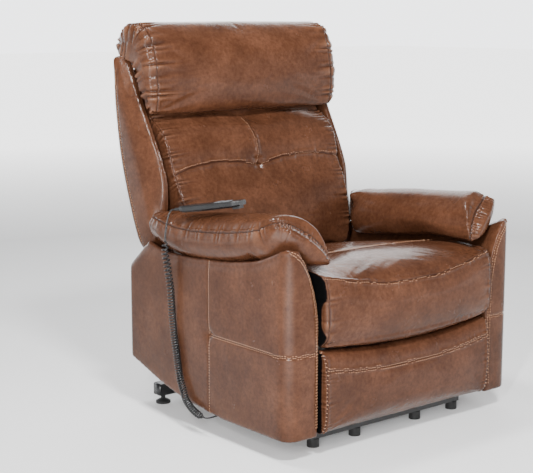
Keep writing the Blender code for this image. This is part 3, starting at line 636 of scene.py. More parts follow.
PUFF_FRAMES = 14
CLOTH = {
    "quality": 4, "mass": 0.35, "tension_stiffness": 18, "compression_stiffness": 18, "shear_stiffness": 8,
    "bending_stiffness": 1.2, "use_pressure": True, "uniform_pressure_force": 3.0,
    "vertex_group_mass": "held",
}


def puff_all(pads):
    """Let the padded skins swell between their seams, all in one run of the cloth solver.

    Each entry is (pad, test for its flat sides, start inset, furthest swelling).
    """
    starts = [start_puff(pad, held, inset) for pad, held, inset, _ in pads]
    for number in range(1, PUFF_FRAMES + 1):
        bpy.context.scene.frame_set(number)
    for (pad, _, _, cap), start in zip(pads, starts):
        obj = pad.skin
        bake_modifiers(obj)
        obj.vertex_groups.clear()
        moved = vertex_rows(obj.data, "co") - start
        size = np.linalg.norm(moved, axis=1)
        scale = np.minimum(1.0, cap / np.maximum(size, 1e-9))
        move_to(obj.data, start + moved * scale[:, None])
    bpy.context.scene.frame_set(1)


def start_puff(pad, held, inset):
    """Draw a skin in, pin its seams and flat sides, and set its cloth; returns where it starts."""
    mesh = pad.skin.data
    full = vertex_rows(mesh, "co")
    tree = surface_tree(mesh)
    pinned = held(full)
    for seam in pad.seams:
        seam.lay_on(tree)
        near, distance, _, _ = seam.measure(full, 0.01)
        pinned[near[distance < 0.0065]] = True
    easing = np.where(pinned, 0.15, 1.0)
    move_to(mesh, full - vertex_rows(mesh, "normal") * (inset * easing)[:, None])
    group = pad.skin.vertex_groups.new(name="held")
    group.add([int(i) for i in np.nonzero(pinned)[0]], 1.0, "REPLACE")
    cloth = pad.skin.modifiers.new("cloth", "CLOTH")
    for name, value in CLOTH.items():
        setattr(cloth.settings, name, value)
    cloth.settings.effector_weights.gravity = 0
    cloth.point_cache.frame_start = 1
    cloth.point_cache.frame_end = PUFF_FRAMES
    return vertex_rows(mesh, "co")


def refine(obj):
    """One level of subdivision after the swelling."""
    smooth = obj.modifiers.new("smooth", "SMOOTH")
    smooth.factor = 0.4
    smooth.iterations = 1
    divide = obj.modifiers.new("divide", "SUBSURF")
    divide.levels = 1
    divide.render_levels = 1
    bake_modifiers(obj)


def back_point(up, deep):
    """Side-plane point of the backrest: up along its lean, and deep behind its front."""
    sin, cos = math.sin(BACK_LEAN), math.cos(BACK_LEAN)
    return 0.073 + up * sin + deep * cos, 0.33 + up * cos - deep * sin


def finish_padded(pad, leather, body, node):
    """Sew a swollen skin, and dress it as its CAD node."""
    refine(pad.skin)
    sew(pad.skin, pad.seams, pad.tufts)
    dress(pad.skin, leather, body, node)


class Pad:
    """A padded skin with its seams, its lines of stitching as (points, offset), and its tufts."""

    def __init__(self, skin, seams, lines=(), tufts=()):
        self.skin, self.seams = skin, seams
        self.lines, self.tufts = lines, tufts


def both_ways(half):
    """Stations from side to side, from those of the half up to the middle."""
    return [(-x, share) for x, share in half] + [(x, share) for x, share in reversed(half)]


def mirrored(points):
    return [(-x, y, z) for x, y, z in points]


# ---- handset cord


WIRE = 0.0042
CURL = 0.0082
CORD_START = mm((
    (-406.36, 66.22, 585.61), (-410.8, 74.5, 583.8), (-416, 78, 575.5), (-420.5, 78.5, 564),
    (-425.5, 78, 549), (-430, 76.8, 533), (-433, 75.5, 520), (-433.5, 74.5, 507.5),
))
CURL_AXIS = mm((
    (-433.5, 74.5, 505.5), (-433.5, 75.5, 470), (-431.5, 69, 430), (-428, 61.5, 373), (-425, 60, 314),
    (-422.5, 56.5, 254), (-421.5, 45.5, 195), (-421.5, 33.5, 137), (-422, 17, 102), (-424, 2, 79),
    (-426, -24, 63), (-427, -52, 53.5), (-427, -80, 50),
))
CORD_END = mm((
    (-427, -81, 49.9), (-425.5, -88, 49.2), (-419, -93, 49.2), (-408, -94.5, 49.6), (-390, -92.5, 50),
    (-362, -85, 50), (-337, -72, 50.2), (-317, -53, 51.5), (-302, -27, 64), (-293, 6, 80),
    (-290.5, 26, 91.5), (-290, 30, 103.5),
))


def make_cord(material):
    """One wire: straight over the pad, curled down the arm, then back in under the chair."""
    curls = curled(even_points(CURL_AXIS, 0.001))
    route = np.concatenate([even_points(CORD_START, 0.004), curls, even_points(CORD_END, 0.004)])
    cord = tube("handset_cord", route, WIRE / 2, material, "chassis")
    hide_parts("handset_cord_straight", "handset_cord_curled", "handset_cord_lead")


def curled(axis):
    """The helix round an axis: looser at the top, closer below, closing in at both ends."""
    steps = np.linalg.norm(np.diff(axis, axis=0), axis=1)
    along = np.concatenate([[0], np.cumsum(steps)])
    stretches = [0, 0.06, 0.16, 0.3, along[-1] - 0.06, along[-1]]
    pitch = np.interp(along, stretches, [0.012, 0.011, 0.0085, 0.0068, 0.0066, 0.01])
    turns = np.concatenate([[0], np.cumsum(steps / pitch[1:])])
    count = int(turns[-1] * 13)
    places = np.linspace(0, turns[-1], count)
    centre = at_lengths(axis, turns, places)
    tangent = np.gradient(centre, axis=0)
    tangent /= np.linalg.norm(tangent, axis=1)[:, None]
    side = np.cross(tangent, (1.0, 0.0, 0.0))
    side /= np.linalg.norm(side, axis=1)[:, None]
    other = np.cross(tangent, side)
    closing = np.minimum(1.0, np.minimum(places, turns[-1] - places) / 2.2)
    radius = CURL * np.sin(closing * np.pi / 2)
    angle = places * 2 * np.pi
    return centre + radius[:, None] * (side * np.cos(angle)[:, None] + other * np.sin(angle)[:, None])


# ---- arms


ARM_TOP = mm((
    (-410, 541), (-397, 543), (-380, 539), (-340, 520), (-280, 498), (-217, 486), (-150, 477), (-84, 472),
    (0, 467), (60, 465), (110, 467), (150, 474), (191, 485), (215, 472), (286, 412),
))
ARM_BOTTOM = mm((
    (-410, 53), (-126, 53), (-93, 56), (-47, 61), (40, 69), (83, 79), (139, 92), (208, 114), (286, 139),
))


def table_at(table, value):
    return float(np.interp(value, [a for a, _ in table], [b for _, b in table]))


ARM_STATIONS = mm((
    -407, -404, -399, -391, -379, -365, -330, -280, -240, -190, -140, -84, -30, 30, 80, 120, 160, 191, 215,
    240, 262, 286,
))
ARM_CORNER = 0.042  # radius of the front edge
ARM_UPRIGHT_SEAM = mm([(411, -82, z) for z in (470, 400, 330, 272, 200, 120, 56)])
ARM_LEVEL_SEAM = mm((
    (411, -82, 272), (411, -200, 271), (411, -345, 270), (408, -380, 270), (398, -399, 270), (372, -408, 270),
    (325, -408, 270),
))
ARM_EDGE_SEAM = mm([(x, -408, z) for x, z in (
    (400, 524), (384, 519), (364, 502), (348, 478), (336, 446), (326, 405), (320, 360), (318, 300),
    (318, 200), (318, 80),
)])


def arm_panel_rings():
    """Cross sections of the arm panel from its rounded front edge to its rear edge."""
    rings = []
    for y in ARM_STATIONS:
        step = max(0.0, ARM_CORNER - (y + 0.407))
        outer = 0.411 - ARM_CORNER + math.sqrt(ARM_CORNER**2 - step**2)
        top, bottom = table_at(ARM_TOP, y), table_at(ARM_BOTTOM, y)
        inset = outer - 0.411
        section = [
            (outer, bottom), (outer, (bottom + top) / 2), (outer, top - 0.03),
            (outer - 0.002, top - 0.01), (outer - 0.01, top - 0.001),
            (0.392 + inset * 0.5, top - 0.003), (0.374 + inset * 0.2, top - 0.012),
            (0.356, top - 0.035), (0.338, top - 0.072), (0.322, top - 0.12), (0.312, top - 0.168),
            (0.3105, top - 0.2), (0.3105, bottom), (0.36, bottom),
        ]
        rings.append([(x, y, z) for x, z in section])
    return rings


def flat_ring(points, count):
    """Points at even steps along straight sides."""
    points = np.asarray(points, float)
    closed = np.concatenate([points, points[:1]])
    along = run_length(closed)
    return at_lengths(closed, along, np.linspace(0, along[-1], count, endpoint=False))


def flat_loft(name, rings, count=160):
    """A closed skin with straight sides between rings."""
    rings = [flat_ring(ring, count) for ring in rings]
    verts = np.concatenate(rings)
    faces = ring_faces(len(rings), count)
    faces.append(tuple(range(count)))
    faces.append(tuple((len(rings) - 1) * count + i for i in range(count)))
    obj = mesh_object(name, verts, faces)
    face_outwards(obj.data)
    return obj


def make_arm_panel(label, side, leather, thread):
    rings = arm_panel_rings()
    upright, level, edge = ARM_UPRIGHT_SEAM, ARM_LEVEL_SEAM, ARM_EDGE_SEAM
    if side < 0:
        rings = [mirrored(ring) for ring in rings]
        upright, level, edge = (mirrored(line) for line in (upright, level, edge))
    panel = flat_loft(f"arm_panel_{label}_leather", rings)
    even_mesh(panel, VOXEL, 6)
    refine(panel)
    roll = [(side * 0.405, y, z - 0.004) for y, z in ARM_TOP[1:-2]]
    seams = [
        Seam(upright, 0.0016, 0.0035, 0.0004, 0.03, 0.02, shade=0.25),
        Seam(level, 0.0022, 0.0035, 0.0006, 0.026, 0.018, shade=0.25),
        Seam(edge, 0.0014, 0.003, 0.0006, 0.02, 0.012, shade=0.4),
        Seam(roll, -0.0042, 0.007, 0.0006, 0.05, 0.02, shade=0.0),
    ]
    sew(panel, seams, [((side * 0.411, -0.082, 0.272), 0.004, 0.016)])
    dress(panel, leather, "chassis", f"arm_panel_{label}")
    lines = [(upright, 0.0035), (level, 0.0032), (level, -0.0032), (edge, 0.0), (edge, 0.007)]
    stitches(panel.name + "_stitching", panel, lines, thread, "chassis")


PAD_RINGS = mm((
    # y, crown, outer seam, outer low, inner low, inner x
    (140, 572, 548, 484, 470, 300), (105, 580, 544, 474, 447, 268), (60, 584, 541, 468, 444, 256),
    (0, 591, 541, 467, 452, 252), (-60, 597, 545, 470, 460, 249), (-120, 602, 551, 476, 469, 248),
    (-190, 606, 561, 486, 478, 248),
))
PAD_FRONT = mm((
    # slanting rings: before the front seam, its swelling, at the seam, and on the end cap
    ((404, -245, 496), (421, -245, 536), (411, -248, 569), (384, -264, 602), (350, -274, 612),
     (314, -282, 606), (280, -294, 584), (256, -304, 548), (250, -310, 500), (268, -306, 481),
     (318, -286, 480), (370, -266, 486)),
    ((405, -270, 500), (420, -270, 541), (411, -274, 575), (386, -300, 606), (352, -318, 613),
     (320, -330, 608), (292, -345, 594), (267, -360, 566), (252, -371, 520), (262, -368, 484),
     (314, -334, 480), (368, -300, 487)),
    ((404, -286, 505), (419, -286, 545), (409, -291, 580), (385, -325, 598), (355, -346, 593),
     (322, -357, 576), (290, -369, 551), (268, -380, 523), (256, -387, 496), (264, -383, 481),
     (312, -352, 481), (366, -316, 490)),
    ((405, -318, 516), (413, -326, 553), (408, -338, 582), (390, -354, 591), (360, -368, 583),
     (328, -378, 565), (299, -387, 542), (277, -394, 517), (265, -396, 498), (270, -393, 486),
     (314, -372, 487), (366, -345, 503)),
    ((392, -342, 530), (398, -349, 555), (394, -356, 574), (380, -368, 579), (356, -381, 571),
     (329, -391, 556), (304, -398, 535), (287, -402, 515), (278, -403, 503), (282, -401, 495),
     (316, -386, 497), (360, -362, 513)),
))
PAD_OUTER_SEAM = mm((
    (400, 180, 552), (411, 109, 544), (413, 20, 540), (413, -50, 543), (413, -120, 550), (413, -198, 560),
    (412, -262, 570), (409, -287, 577),
))
PAD_FRONT_SEAM = mm((
    (409, -287, 577), (396, -313, 592), (382, -328, 598), (353, -346, 592), (329, -355, 578),
    (302, -364, 561), (285, -372, 544), (270, -379, 525), (257, -386, 496), (262, -382, 482),
))


def pad_rings():
    """Cross sections of a pillow arm from its rear end to its slanted front end."""
    rings = []
    for y, reach, top in ((0.198, 0.355, 0.556), (0.188, 0.34, 0.566)):
        low = 0.505 if y > 0.19 else 0.498
        mid = (reach + 0.41) / 2
        rings.append([
            (0.4, y, low), (0.412, y, (low + top) / 2), (0.404, y, 0.545), (0.392, y, top - 0.004),
            (mid, y, top), (mid - 0.012, y, top), (reach + 0.004, y, top - 0.006), (reach, y, top - 0.022),
            (reach + 0.002, y, low + 0.012), (reach + 0.01, y, low), (mid, y, low - 0.002),
            (0.388, y, low - 0.003),
        ])
    for y, crown, seam, outer_low, inner_low, inner in PAD_RINGS:
        rings.append([
            (0.404, y, outer_low), (0.421, y, (outer_low + seam) / 2), (0.41, y, seam),
            (0.374, y, crown - 0.008), (0.332, y, crown), (0.292, y, crown - 0.016),
            (inner + 0.01, y, crown - 0.05),
            (inner, y, (crown - 0.05 + inner_low) / 2), (inner + 0.01, y, inner_low + 0.005),
            (inner + 0.034, y, inner_low), (0.33, y, inner_low + 0.006), (0.374, y, outer_low - 0.014),
        ])
    rings += list(PAD_FRONT)
    last = PAD_FRONT[-1]
    rings.append(last.mean(0) + (last - last.mean(0)) * 0.45 + np.array([0.004, -0.007, 0.0]))
    return rings


def pressed(ring):
    """The arm under the handset sits a few millimetres lower along its crown."""
    low = []
    for x, y, z in ring:
        share = min(1.0, max(0.0, (z - 0.545) / 0.04)) * math.exp(-(((y + 0.05) / 0.14) ** 4))
        low.append((x, y, z - 0.007 * share))
    return low


def shape_arm_pad(label, side):
    rings = pad_rings()
    outer, front = PAD_OUTER_SEAM, PAD_FRONT_SEAM
    if side < 0:
        rings = [pressed(mirrored(ring)) for ring in rings]
        outer, front = mirrored(outer), mirrored(front)
    skin = loft(f"arm_pad_{label}_leather", rings, 110, 130)
    even_mesh(skin, VOXEL * 0.85, 3)
    seams = [
        Seam(outer, 0.0032, 0.0036, 0.0018, 0.022, 0.022, (1.0, 1.0)),
        Seam(front, 0.0042, 0.0042, 0.0036, 0.0115, 0.024, (1.0, 0.3) if side > 0 else (0.3, 1.0)),
    ]
    return Pad(skin, seams, [(outer, 0.0), (front, 0.0)])


# ---- seat and footrest


def shrunk(ring, share):
    """A ring drawn in towards its middle."""
    ring = np.asarray(ring, float)
    middle = ring.mean(0)
    return middle + (ring - middle) * (1 - share)


def sections(section, start, whole, end):
    """Rings at stations: those of start and end, as (station, share), are drawn in by the share."""
    stations = [*start, *((place, 0.0) for place in whole), *end]
    return [shrunk(section(place), share) for place, share in stations]


SEAT_WELT = mm(((0, 424), (100, 427), (200, 443), (280, 460), (310, 466)))
SEAT_SIDE_SEAM = mm((
    (300, -424, 462), (300, -436, 420), (299, -438, 350), (299, -430, 300), (298, -412, 284),
))
SEAT_LIP = mm(((0, 261), (150, 265), (250, 273), (310, 277)))


def seat_section(x):
    far = abs(x)
    welt, lip = table_at(SEAT_WELT, far), table_at(SEAT_LIP, far)
    back = 0.014 * (far / 0.3) ** 2
    drop = 0.01 * (far / 0.3) ** 2
    places = (
        (0.094, 0.28), (0.099, 0.33), (0.11, 0.38), (0.119, 0.403), (0.104, 0.419 - drop),
        (0.074, 0.428 - drop), (0.02, 0.442 - drop), (-0.08, 0.459 - drop), (-0.19, 0.474 - drop),
        (-0.29, 0.481 - drop * 0.6), (-0.36, 0.478 - drop * 0.3),
        (-0.404 + back, max(0.464, welt + 0.008)), (-0.432 + back, welt), (-0.447 + back, welt - 0.042),
        (-0.449 + back, 0.34), (-0.441 + back, 0.3), (-0.42 + back, lip + 0.003), (-0.396, lip + 0.006),
        (-0.352, 0.2785), (-0.2, 0.2785), (0.000, 0.2785),
    )
    return [(x, y, z) for y, z in places]


def shape_seat():
    half = [(0.3065, 0.06), (0.303, 0.022), (0.296, 0.004), (0.27, 0), (0.2, 0), (0.12, 0), (0.04, 0)]
    rings = [shrunk(seat_section(x), share) for x, share in both_ways(half)]
    seat = loft("seat_cushion_leather", rings, 130, 110)
    even_mesh(seat, VOXEL, 3)
    welt = []
    for x in np.linspace(-0.3, 0.3, 13):
        welt.append((x, -0.432 + 0.014 * (x / 0.3) ** 2, table_at(SEAT_WELT, abs(x))))
    cross = [(x, -0.205, 0.48) for x in np.linspace(-0.29, 0.29, 9)]
    seams = [
        Seam(welt, 0.0035, 0.004, 0.0009, 0.03, 0.022),
        Seam(cross, 0.003, 0.0045, 0.001, 0.04, 0.026),
        Seam(mirrored(SEAT_SIDE_SEAM), 0.0055, 0.0055, 0.003, 0.02, 0.024),
        Seam(SEAT_SIDE_SEAM, 0.0055, 0.0055, 0.003, 0.02, 0.024),
    ]
    return Pad(seat, seams, [(welt, -0.0035), (cross, 0.0035), (cross, -0.0035)])


def seat_lining_shadow_edge(z):
    """Where the seat's side changes from leather to near-black lining with painted shadow of the gap beside
    the arm: set back at mid height of the front.
    """
    return -0.437 + 0.026 * np.exp(-(((z - 0.361) / 0.047) ** 4))


def paint_lining_and_gap_shadow(obj, edge, limit):
    """Mark the side faces behind an edge line near black, as black lining cloth with painted shadow of the gap
    beside the arm; edge gives its y at a height.
    """
    places, facing = vertex_rows(obj.data, "co"), vertex_rows(obj.data, "normal")
    behind = np.clip((places[:, 1] - edge(places[:, 2])) / 0.003, 0, 1)
    far_out = np.clip((np.abs(places[:, 0]) - limit) / 0.002, 0, 1)
    sideways = far_out * np.clip((np.abs(facing[:, 0]) - 0.4) / 0.2, 0, 1)
    mark(obj.data, "lining_and_gap_shadow", behind * sideways)


FOOT_TOP = mm(((0, 259), (100, 261), (200, 267), (280, 275), (310, 277)))
FOOT_SIDE_SEAM = mm([(299, y, z) for y, z in (
    (-400, 266), (-424, 245), (-430, 190), (-430, 130), (-424, 80), (-404, 56),
)])
FOOT_SEAM = mm(((0, 203), (100, 205), (210, 213), (285, 226), (310, 229)))


def foot_section(x):
    top = table_at(FOOT_TOP, abs(x))
    places = (
        (-0.3632, 0.24), (-0.367, top - 0.006), (-0.384, top), (-0.406, top - 0.003), (-0.421, top - 0.02),
        (-0.4275, 0.215), (-0.429, 0.16), (-0.427, 0.11), (-0.42, 0.074), (-0.407, 0.058),
        (-0.388, 0.053), (-0.368, 0.055), (-0.3632, 0.07), (-0.3632, 0.155),
    )
    return [(x, y, z) for y, z in places]


def shape_footrest():
    half = [(0.3065, 0.07), (0.303, 0.025), (0.296, 0.004), (0.26, 0), (0.16, 0), (0.05, 0)]
    rings = [shrunk(foot_section(x), share) for x, share in both_ways(half)]
    skin = loft("footrest_leather", rings, 110, 110)
    even_mesh(skin, VOXEL * 0.85, 3)
    line = [(x, -0.43, table_at(FOOT_SEAM, abs(x))) for x in np.linspace(-0.298, 0.298, 13)]
    seams = [
        Seam(line, 0.0028, 0.0038, 0.0007, 0.035, 0.02),
        Seam(mirrored(FOOT_SIDE_SEAM), 0.003, 0.0035, 0.0026, 0.0105, 0.02),
        Seam(FOOT_SIDE_SEAM, 0.003, 0.0035, 0.002, 0.012, 0.018),
    ]
    return Pad(skin, seams, [(line, 0.0034), (line, -0.0034)])


# ---- backrest


BACK_FRONT = mm((
    (90, 24), (140, 8), (200, -4), (260, -10), (310, -7), (345, 1), (364, 4), (385, 0), (430, -3),
    (470, 6), (500, 22), (530, 48), (610, 66), (660, 70), (710, 84),
))
BACK_HALF = mm(((90, 300), (140, 308), (300, 317), (420, 322), (500, 323.5), (610, 322)))


def back_section(up):
    front, half = table_at(BACK_FRONT, up), table_at(BACK_HALF, up)
    rear = 0.1175 - 0.06 * max(0.0, up - 0.63)
    round_by = 0.3 * (rear - front)
    left = [
        (-half * 0.5, front), (-half + 0.05, front + 0.001), (-half + 0.016, front + 0.003),
        (-half + 0.002, front + min(0.014, round_by)), (-half - 0.001, min(front + 0.05, (front + rear) / 2)),
        (-half + 0.002, rear - min(0.0175, round_by)), (-half + 0.014, rear - 0.001), (-half * 0.5, rear),
    ]
    right = [(-x, deep) for x, deep in reversed(left)]
    ring = [(0.0, front)] + left + [(0.0, rear)] + right
    return [(x, *back_point(up, deep)) for x, deep in ring]


def back_front_at(x, z):
    """A point on the back cushion's front, by width and height."""
    up = (z - 0.33) / math.cos(BACK_LEAN)
    y, height = back_point(up, table_at(BACK_FRONT, up) + 0.002)
    return x, y, height


def back_side_seam(side):
    points = []
    for z in (0.46, 0.5, 0.55, 0.6, 0.65, 0.7, 0.75, 0.8, 0.84):
        up = (z - 0.33) / math.cos(BACK_LEAN)
        y, height = back_point(up, table_at(BACK_FRONT, up) + 0.006)
        points.append((side * (table_at(BACK_HALF, up) - 0.006), y, height))
    return points


def shape_back():
    rings = sections(
        back_section, ((0.09, 0.1), (0.096, 0.03)),
        (0.108, 0.15, 0.2, 0.25, 0.3, 0.335, 0.364, 0.39, 0.43, 0.47, 0.5, 0.53, 0.57, 0.61, 0.65, 0.68),
        ((0.692, 0.02), (0.7, 0.1)),
    )
    back = loft("back_cushion_leather", rings, 130, 110)
    even_mesh(back, VOXEL, 3)
    cross = [back_front_at(x, z) for x, z in mm((
        (-300, 664), (-240, 676), (-170, 683), (-90, 681), (-35, 674), (0, 670), (35, 675), (90, 684),
        (170, 689), (240, 685), (300, 675),
    ))]
    centre = [back_front_at(x, z) for x, z in mm(((0, 672), (2, 700), (0, 740), (-4, 780), (-8, 810)))]
    seams = [
        Seam(cross, 0.006, 0.006, 0.0014, 0.04, 0.03, (1.0, 1.0)),
        Seam(centre, 0.003, 0.0045, 0.0008, 0.03, 0.02),
        Seam(back_side_seam(-1), 0.0045, 0.0045, 0.0042, 0.015, 0.034, (0.8, 1.0)),
        Seam(back_side_seam(1), 0.0045, 0.0045, 0.0038, 0.016, 0.03, (1.0, 0.8)),
    ]
    tuft = (back_front_at(0.0, 0.671), 0.012, 0.02)
    return Pad(back, seams, [(cross, 0.0038), (centre, 0.0035)], [tuft])


HEAD_PROFILE = mm((
    (292, 836), (280, 818), (264, 823), (253, 862), (252, 920), (262, 984), (284, 1044), (318, 1074),
    (360, 1082), (406, 1070), (434, 1042), (443, 1008), (430, 984), (396, 976), (354, 962), (324, 914),
    (305, 866),
))


def head_section(x, share):
    sag = 0.012 * (1 - (abs(x) / 0.33) ** 2)
    ring = [(x, y, z - sag * max(0.0, (0.9 - z) / 0.09)) for y, z in HEAD_PROFILE]
    return shrunk(ring, share)


def shape_headrest():
    half = [(0.361, 0.62), (0.359, 0.4), (0.355, 0.22), (0.348, 0.105), (0.338, 0.045), (0.326, 0.014),
            (0.29, 0.0), (0.22, 0.0), (0.13, 0.0), (0.04, 0.0)]
    pillow = loft("headrest_leather", [head_section(x, share) for x, share in both_ways(half)], 120, 120)
    even_mesh(pillow, VOXEL, 2)
    rings = []
    for side in (-1, 1):
        ring = []
        for _, y, z in head_section(side * 0.323, 0.02):
            rearward = min(1.0, max(0.0, (y - 0.265) / 0.09))
            ring.append((side * (0.323 + 0.022 * rearward), y, z))
        rings.append(ring)
    seams = [
        Seam(rings[0], 0.006, 0.005, 0.0072, 0.023, 0.044, (1.0, 0.8), True),
        Seam(rings[1], 0.006, 0.005, 0.006, 0.023, 0.038, (0.8, 1.0), True),
    ]
    return Pad(pillow, seams)


WING_REAR = mm((
    (150, 130), (193, 156), (210, 164.5), (297, 168), (390, 166.5), (482, 158.5), (589, 137), (640, 122.5),
    (689, 104), (706, 98), (724, 92),
))
WING_FRONT = mm(((150, 100), (180, 78), (210, 73.5), (500, 72.5), (600, 78), (724, 78)))
WING_INNER = mm((
    (150, 104), (200, 78), (240, 56), (290, 26), (354, 14), (429, 24), (505, 37), (569, 48), (639, 56),
    (679, 60), (724, 64),
))


def wing_section(up):
    front, rear = table_at(WING_FRONT, up), table_at(WING_REAR, up)
    inner = table_at(WING_INNER, up)
    step = max(0.0, front - inner)
    ring = [
        (0.3295, inner + 0.011), (0.3345, inner + 0.001), (0.348, front - 0.003 - 0.8 * step),
        (0.362, front - 0.001 - 0.45 * step), (0.373, front + 0.001 - 0.15 * step), (0.3795, front + 0.013),
        (0.3815, (front + rear) / 2), (0.379, rear - 0.014), (0.37, rear - 0.003), (0.35, rear),
        (0.335, rear - 0.003), (0.329, rear - 0.012), (0.3285, (front + rear) / 2),
    ]
    return [(x, *back_point(up, deep)) for x, deep in ring]


def make_wing(label, side, leather, thread):
    rings = sections(
        wing_section, ((0.152, 0.25), (0.158, 0.1), (0.17, 0.03)),
        (0.2, 0.26, 0.33, 0.4, 0.47, 0.54, 0.6, 0.66, 0.695),
        ((0.71, 0.05), (0.718, 0.14), (0.722, 0.27), (0.724, 0.45)),
    )
    wing = loft(f"wing_{label}_leather", [ring * np.array([side, 1, 1]) for ring in rings], 80, 110)
    even_mesh(wing, VOXEL * 0.85, 2)
    refine(wing)
    line, front = [], []
    for up in np.linspace(0.2, 0.68, 12):
        line.append((side * 0.381, *back_point(up, table_at(WING_REAR, up) - 0.026)))
    for up in np.linspace(0.19, 0.68, 12):
        front.append((side * 0.338, *back_point(up, table_at(WING_INNER, up))))
    seams = [
        Seam(line, 0.0022, 0.0035, 0.0008, 0.03, 0.016, shade=0.3),
        Seam(front, 0.0018, 0.003, 0.0008, 0.03, 0.014, shade=0.5),
    ]
    sew(wing, seams)
    dress(wing, leather, "backrest", f"back_wing_{label}")
    stitches(wing.name + "_stitching", wing, [(line, 0.0032)], thread, "backrest")


def outer_back_section(up):
    belly = math.sin(math.pi * min(1.0, max(0.0, (up - 0.14) / 0.5)))
    rear = 0.168 + 0.008 * belly - 0.01 * max(0.0, up - 0.5) / 0.1
    ring = [
        (-0.3275, 0.146), (-0.3275, rear - 0.006), (-0.318, rear), (-0.15, rear + 0.002), (0.0, rear + 0.003),
        (0.15, rear + 0.002), (0.318, rear), (0.3275, rear - 0.006), (0.3275, 0.146), (0.15, 0.146),
        (0.0, 0.146), (-0.15, 0.146),
    ]
    return [(x, *back_point(up, deep)) for x, deep in ring]


def make_outer_back(leather, thread):
    """Rear cover of the backrest, with a panel seam down each side."""
    rings = sections(
        outer_back_section, ((0.146, 0.1), (0.152, 0.02)), (0.17, 0.25, 0.35, 0.45, 0.55, 0.61),
        ((0.632, 0.02), (0.64, 0.1)),
    )
    cover = flat_loft("outer_back_leather", rings, 200)
    even_mesh(cover, VOXEL * 0.85, 3)
    refine(cover)
    seams, lines = [], []
    for side in (-1, 1):
        line = [(side * 0.235, *back_point(up, 0.18)) for up in np.linspace(0.15, 0.635, 10)]
        seams.append(Seam(line, 0.0024, 0.0038, 0.0009, 0.032, 0.02))
        lines += [(line, 0.0033), (line, -0.0033)]
    hem = [(x, *back_point(0.166, 0.18)) for x in np.linspace(-0.31, 0.31, 9)]
    seams.append(Seam(hem, 0.0015, 0.003, 0.0008, 0.03, 0.014))
    lines.append((hem, 0.0))
    sew(cover, seams)
    dress(cover, leather, "backrest", "back_outer_panel")
    stitches("outer_back_stitching", cover, lines, thread, "backrest")


def make_apron(leather, thread):
    """Leather skirt that closes the chair's rear below the back."""
    rings = []
    for x in np.linspace(-0.3085, 0.3085, 60):
        wave = 0.0016 * math.sin(x * 31) + 0.001 * math.sin(x * 77 + 1)
        front, rear = 0.2605, 0.2665
        rings.append([
            (x, front + wave * 0.3, 0.3), (x, rear + wave * 0.3, 0.3), (x, rear + wave, 0.22),
            (x, rear + wave * 1.5, 0.146), (x, front + wave * 1.5, 0.146), (x, front + wave, 0.22),
        ])
    apron = flat_loft("rear_apron_leather", rings, 90)
    lines = [([(x, 0.27, 0.156) for x in np.linspace(-0.3, 0.3, 9)], 0.0)]
    dress(apron, leather, "chassis", "rear_apron")
    stitches("rear_apron_stitching", apron, lines, thread, "chassis")


# ---- steel fittings


def lathe(name, centre, profile, material, body, sides=28):
    """A turned fitting on an axis across the chair: profile holds (x, radius)."""
    verts = []
    x0, y0, z0 = centre
    for x, radius in profile:
        for k in range(sides):
            angle = 2 * math.pi * k / sides
            verts.append((x0 + x, y0 + radius * math.cos(angle), z0 + radius * math.sin(angle)))
    faces = ring_faces(len(profile), sides)
    faces.append(tuple(reversed(range(sides))))
    faces.append(tuple((len(profile) - 1) * sides + k for k in range(sides)))
    obj = mesh_object(name, verts, faces)
    face_outwards(obj.data)
    obj.data.set_sharp_from_angle(angle=math.radians(40))
    dress(obj, material, body)


def make_rivets(steel):
    """Domed heads on the folding links' pins."""
    heads = (
        ("drive_end", (-0.20893, 0.08193), 0.27, "footrest_drive"),
        ("tray_end", (-0.34489, 0.19445), 0.27, "footrest"),
        ("follow_end", (-0.14944, 0.08232), 0.2745, "footrest_follow"),
        ("follow_root", (-0.23067, 0.2536), 0.2745, "chassis"),
    )
    dome = ((0.0, 0.0062), (0.0008, 0.0062), (0.0015, 0.005), (0.002, 0.003), (0.0022, 0.0008))
    for label, (y, z), x, body in heads:
        for side, sign in SIDES:
            profile = [(sign * a, r) for a, r in dome]
            lathe(f"rivet_{label}_{side}", (sign * x, y, z), profile, steel, body)


def make_tube_plugs(plastic):
    """Plastic plugs in the open ends of the rear base tube."""
    for side, sign in SIDES:
        bm = bmesh.new()
        bmesh.ops.create_cube(bm, size=1.0)
        bmesh.ops.scale(bm, vec=(0.004, 0.0332, 0.0332), verts=bm.verts)
        bmesh.ops.translate(bm, vec=(sign * 0.3622, 0.226, 0.045), verts=bm.verts)
        bmesh.ops.bevel(bm, geom=bm.edges[:], offset=0.0012, segments=3, affect="EDGES")
        mesh = bpy.data.meshes.new("plug")
        bm.to_mesh(mesh)
        bm.free()
        mesh.shade_smooth()
        dress(add_object(f"tube_plug_{side}", mesh), plastic, "base")


# ---- the whole chair


def paint_nodes(finishes):
    """Give every CAD node the material of its slot."""
    slots = {part["node"]: part["material_slot"] for part in frame["record"]["subparts"]}
    for name, node in NODES.items():
        node.data.materials.clear()
        node.data.materials.append(finishes[slots[name]])


def seat_flat(p):
    return (p[:, 2] < 0.285) | (p[:, 1] > 0.08) | (abs(p[:, 0]) > 0.302)


def footrest_flat(p):
    return p[:, 1] > -0.368


def back_flat(p):
    return (p[:, 1] - 0.073) * 0.94 - (p[:, 2] - 0.33) * 0.342 > 0.11


def no_flat(p):
    return p[:, 2] < 0.0


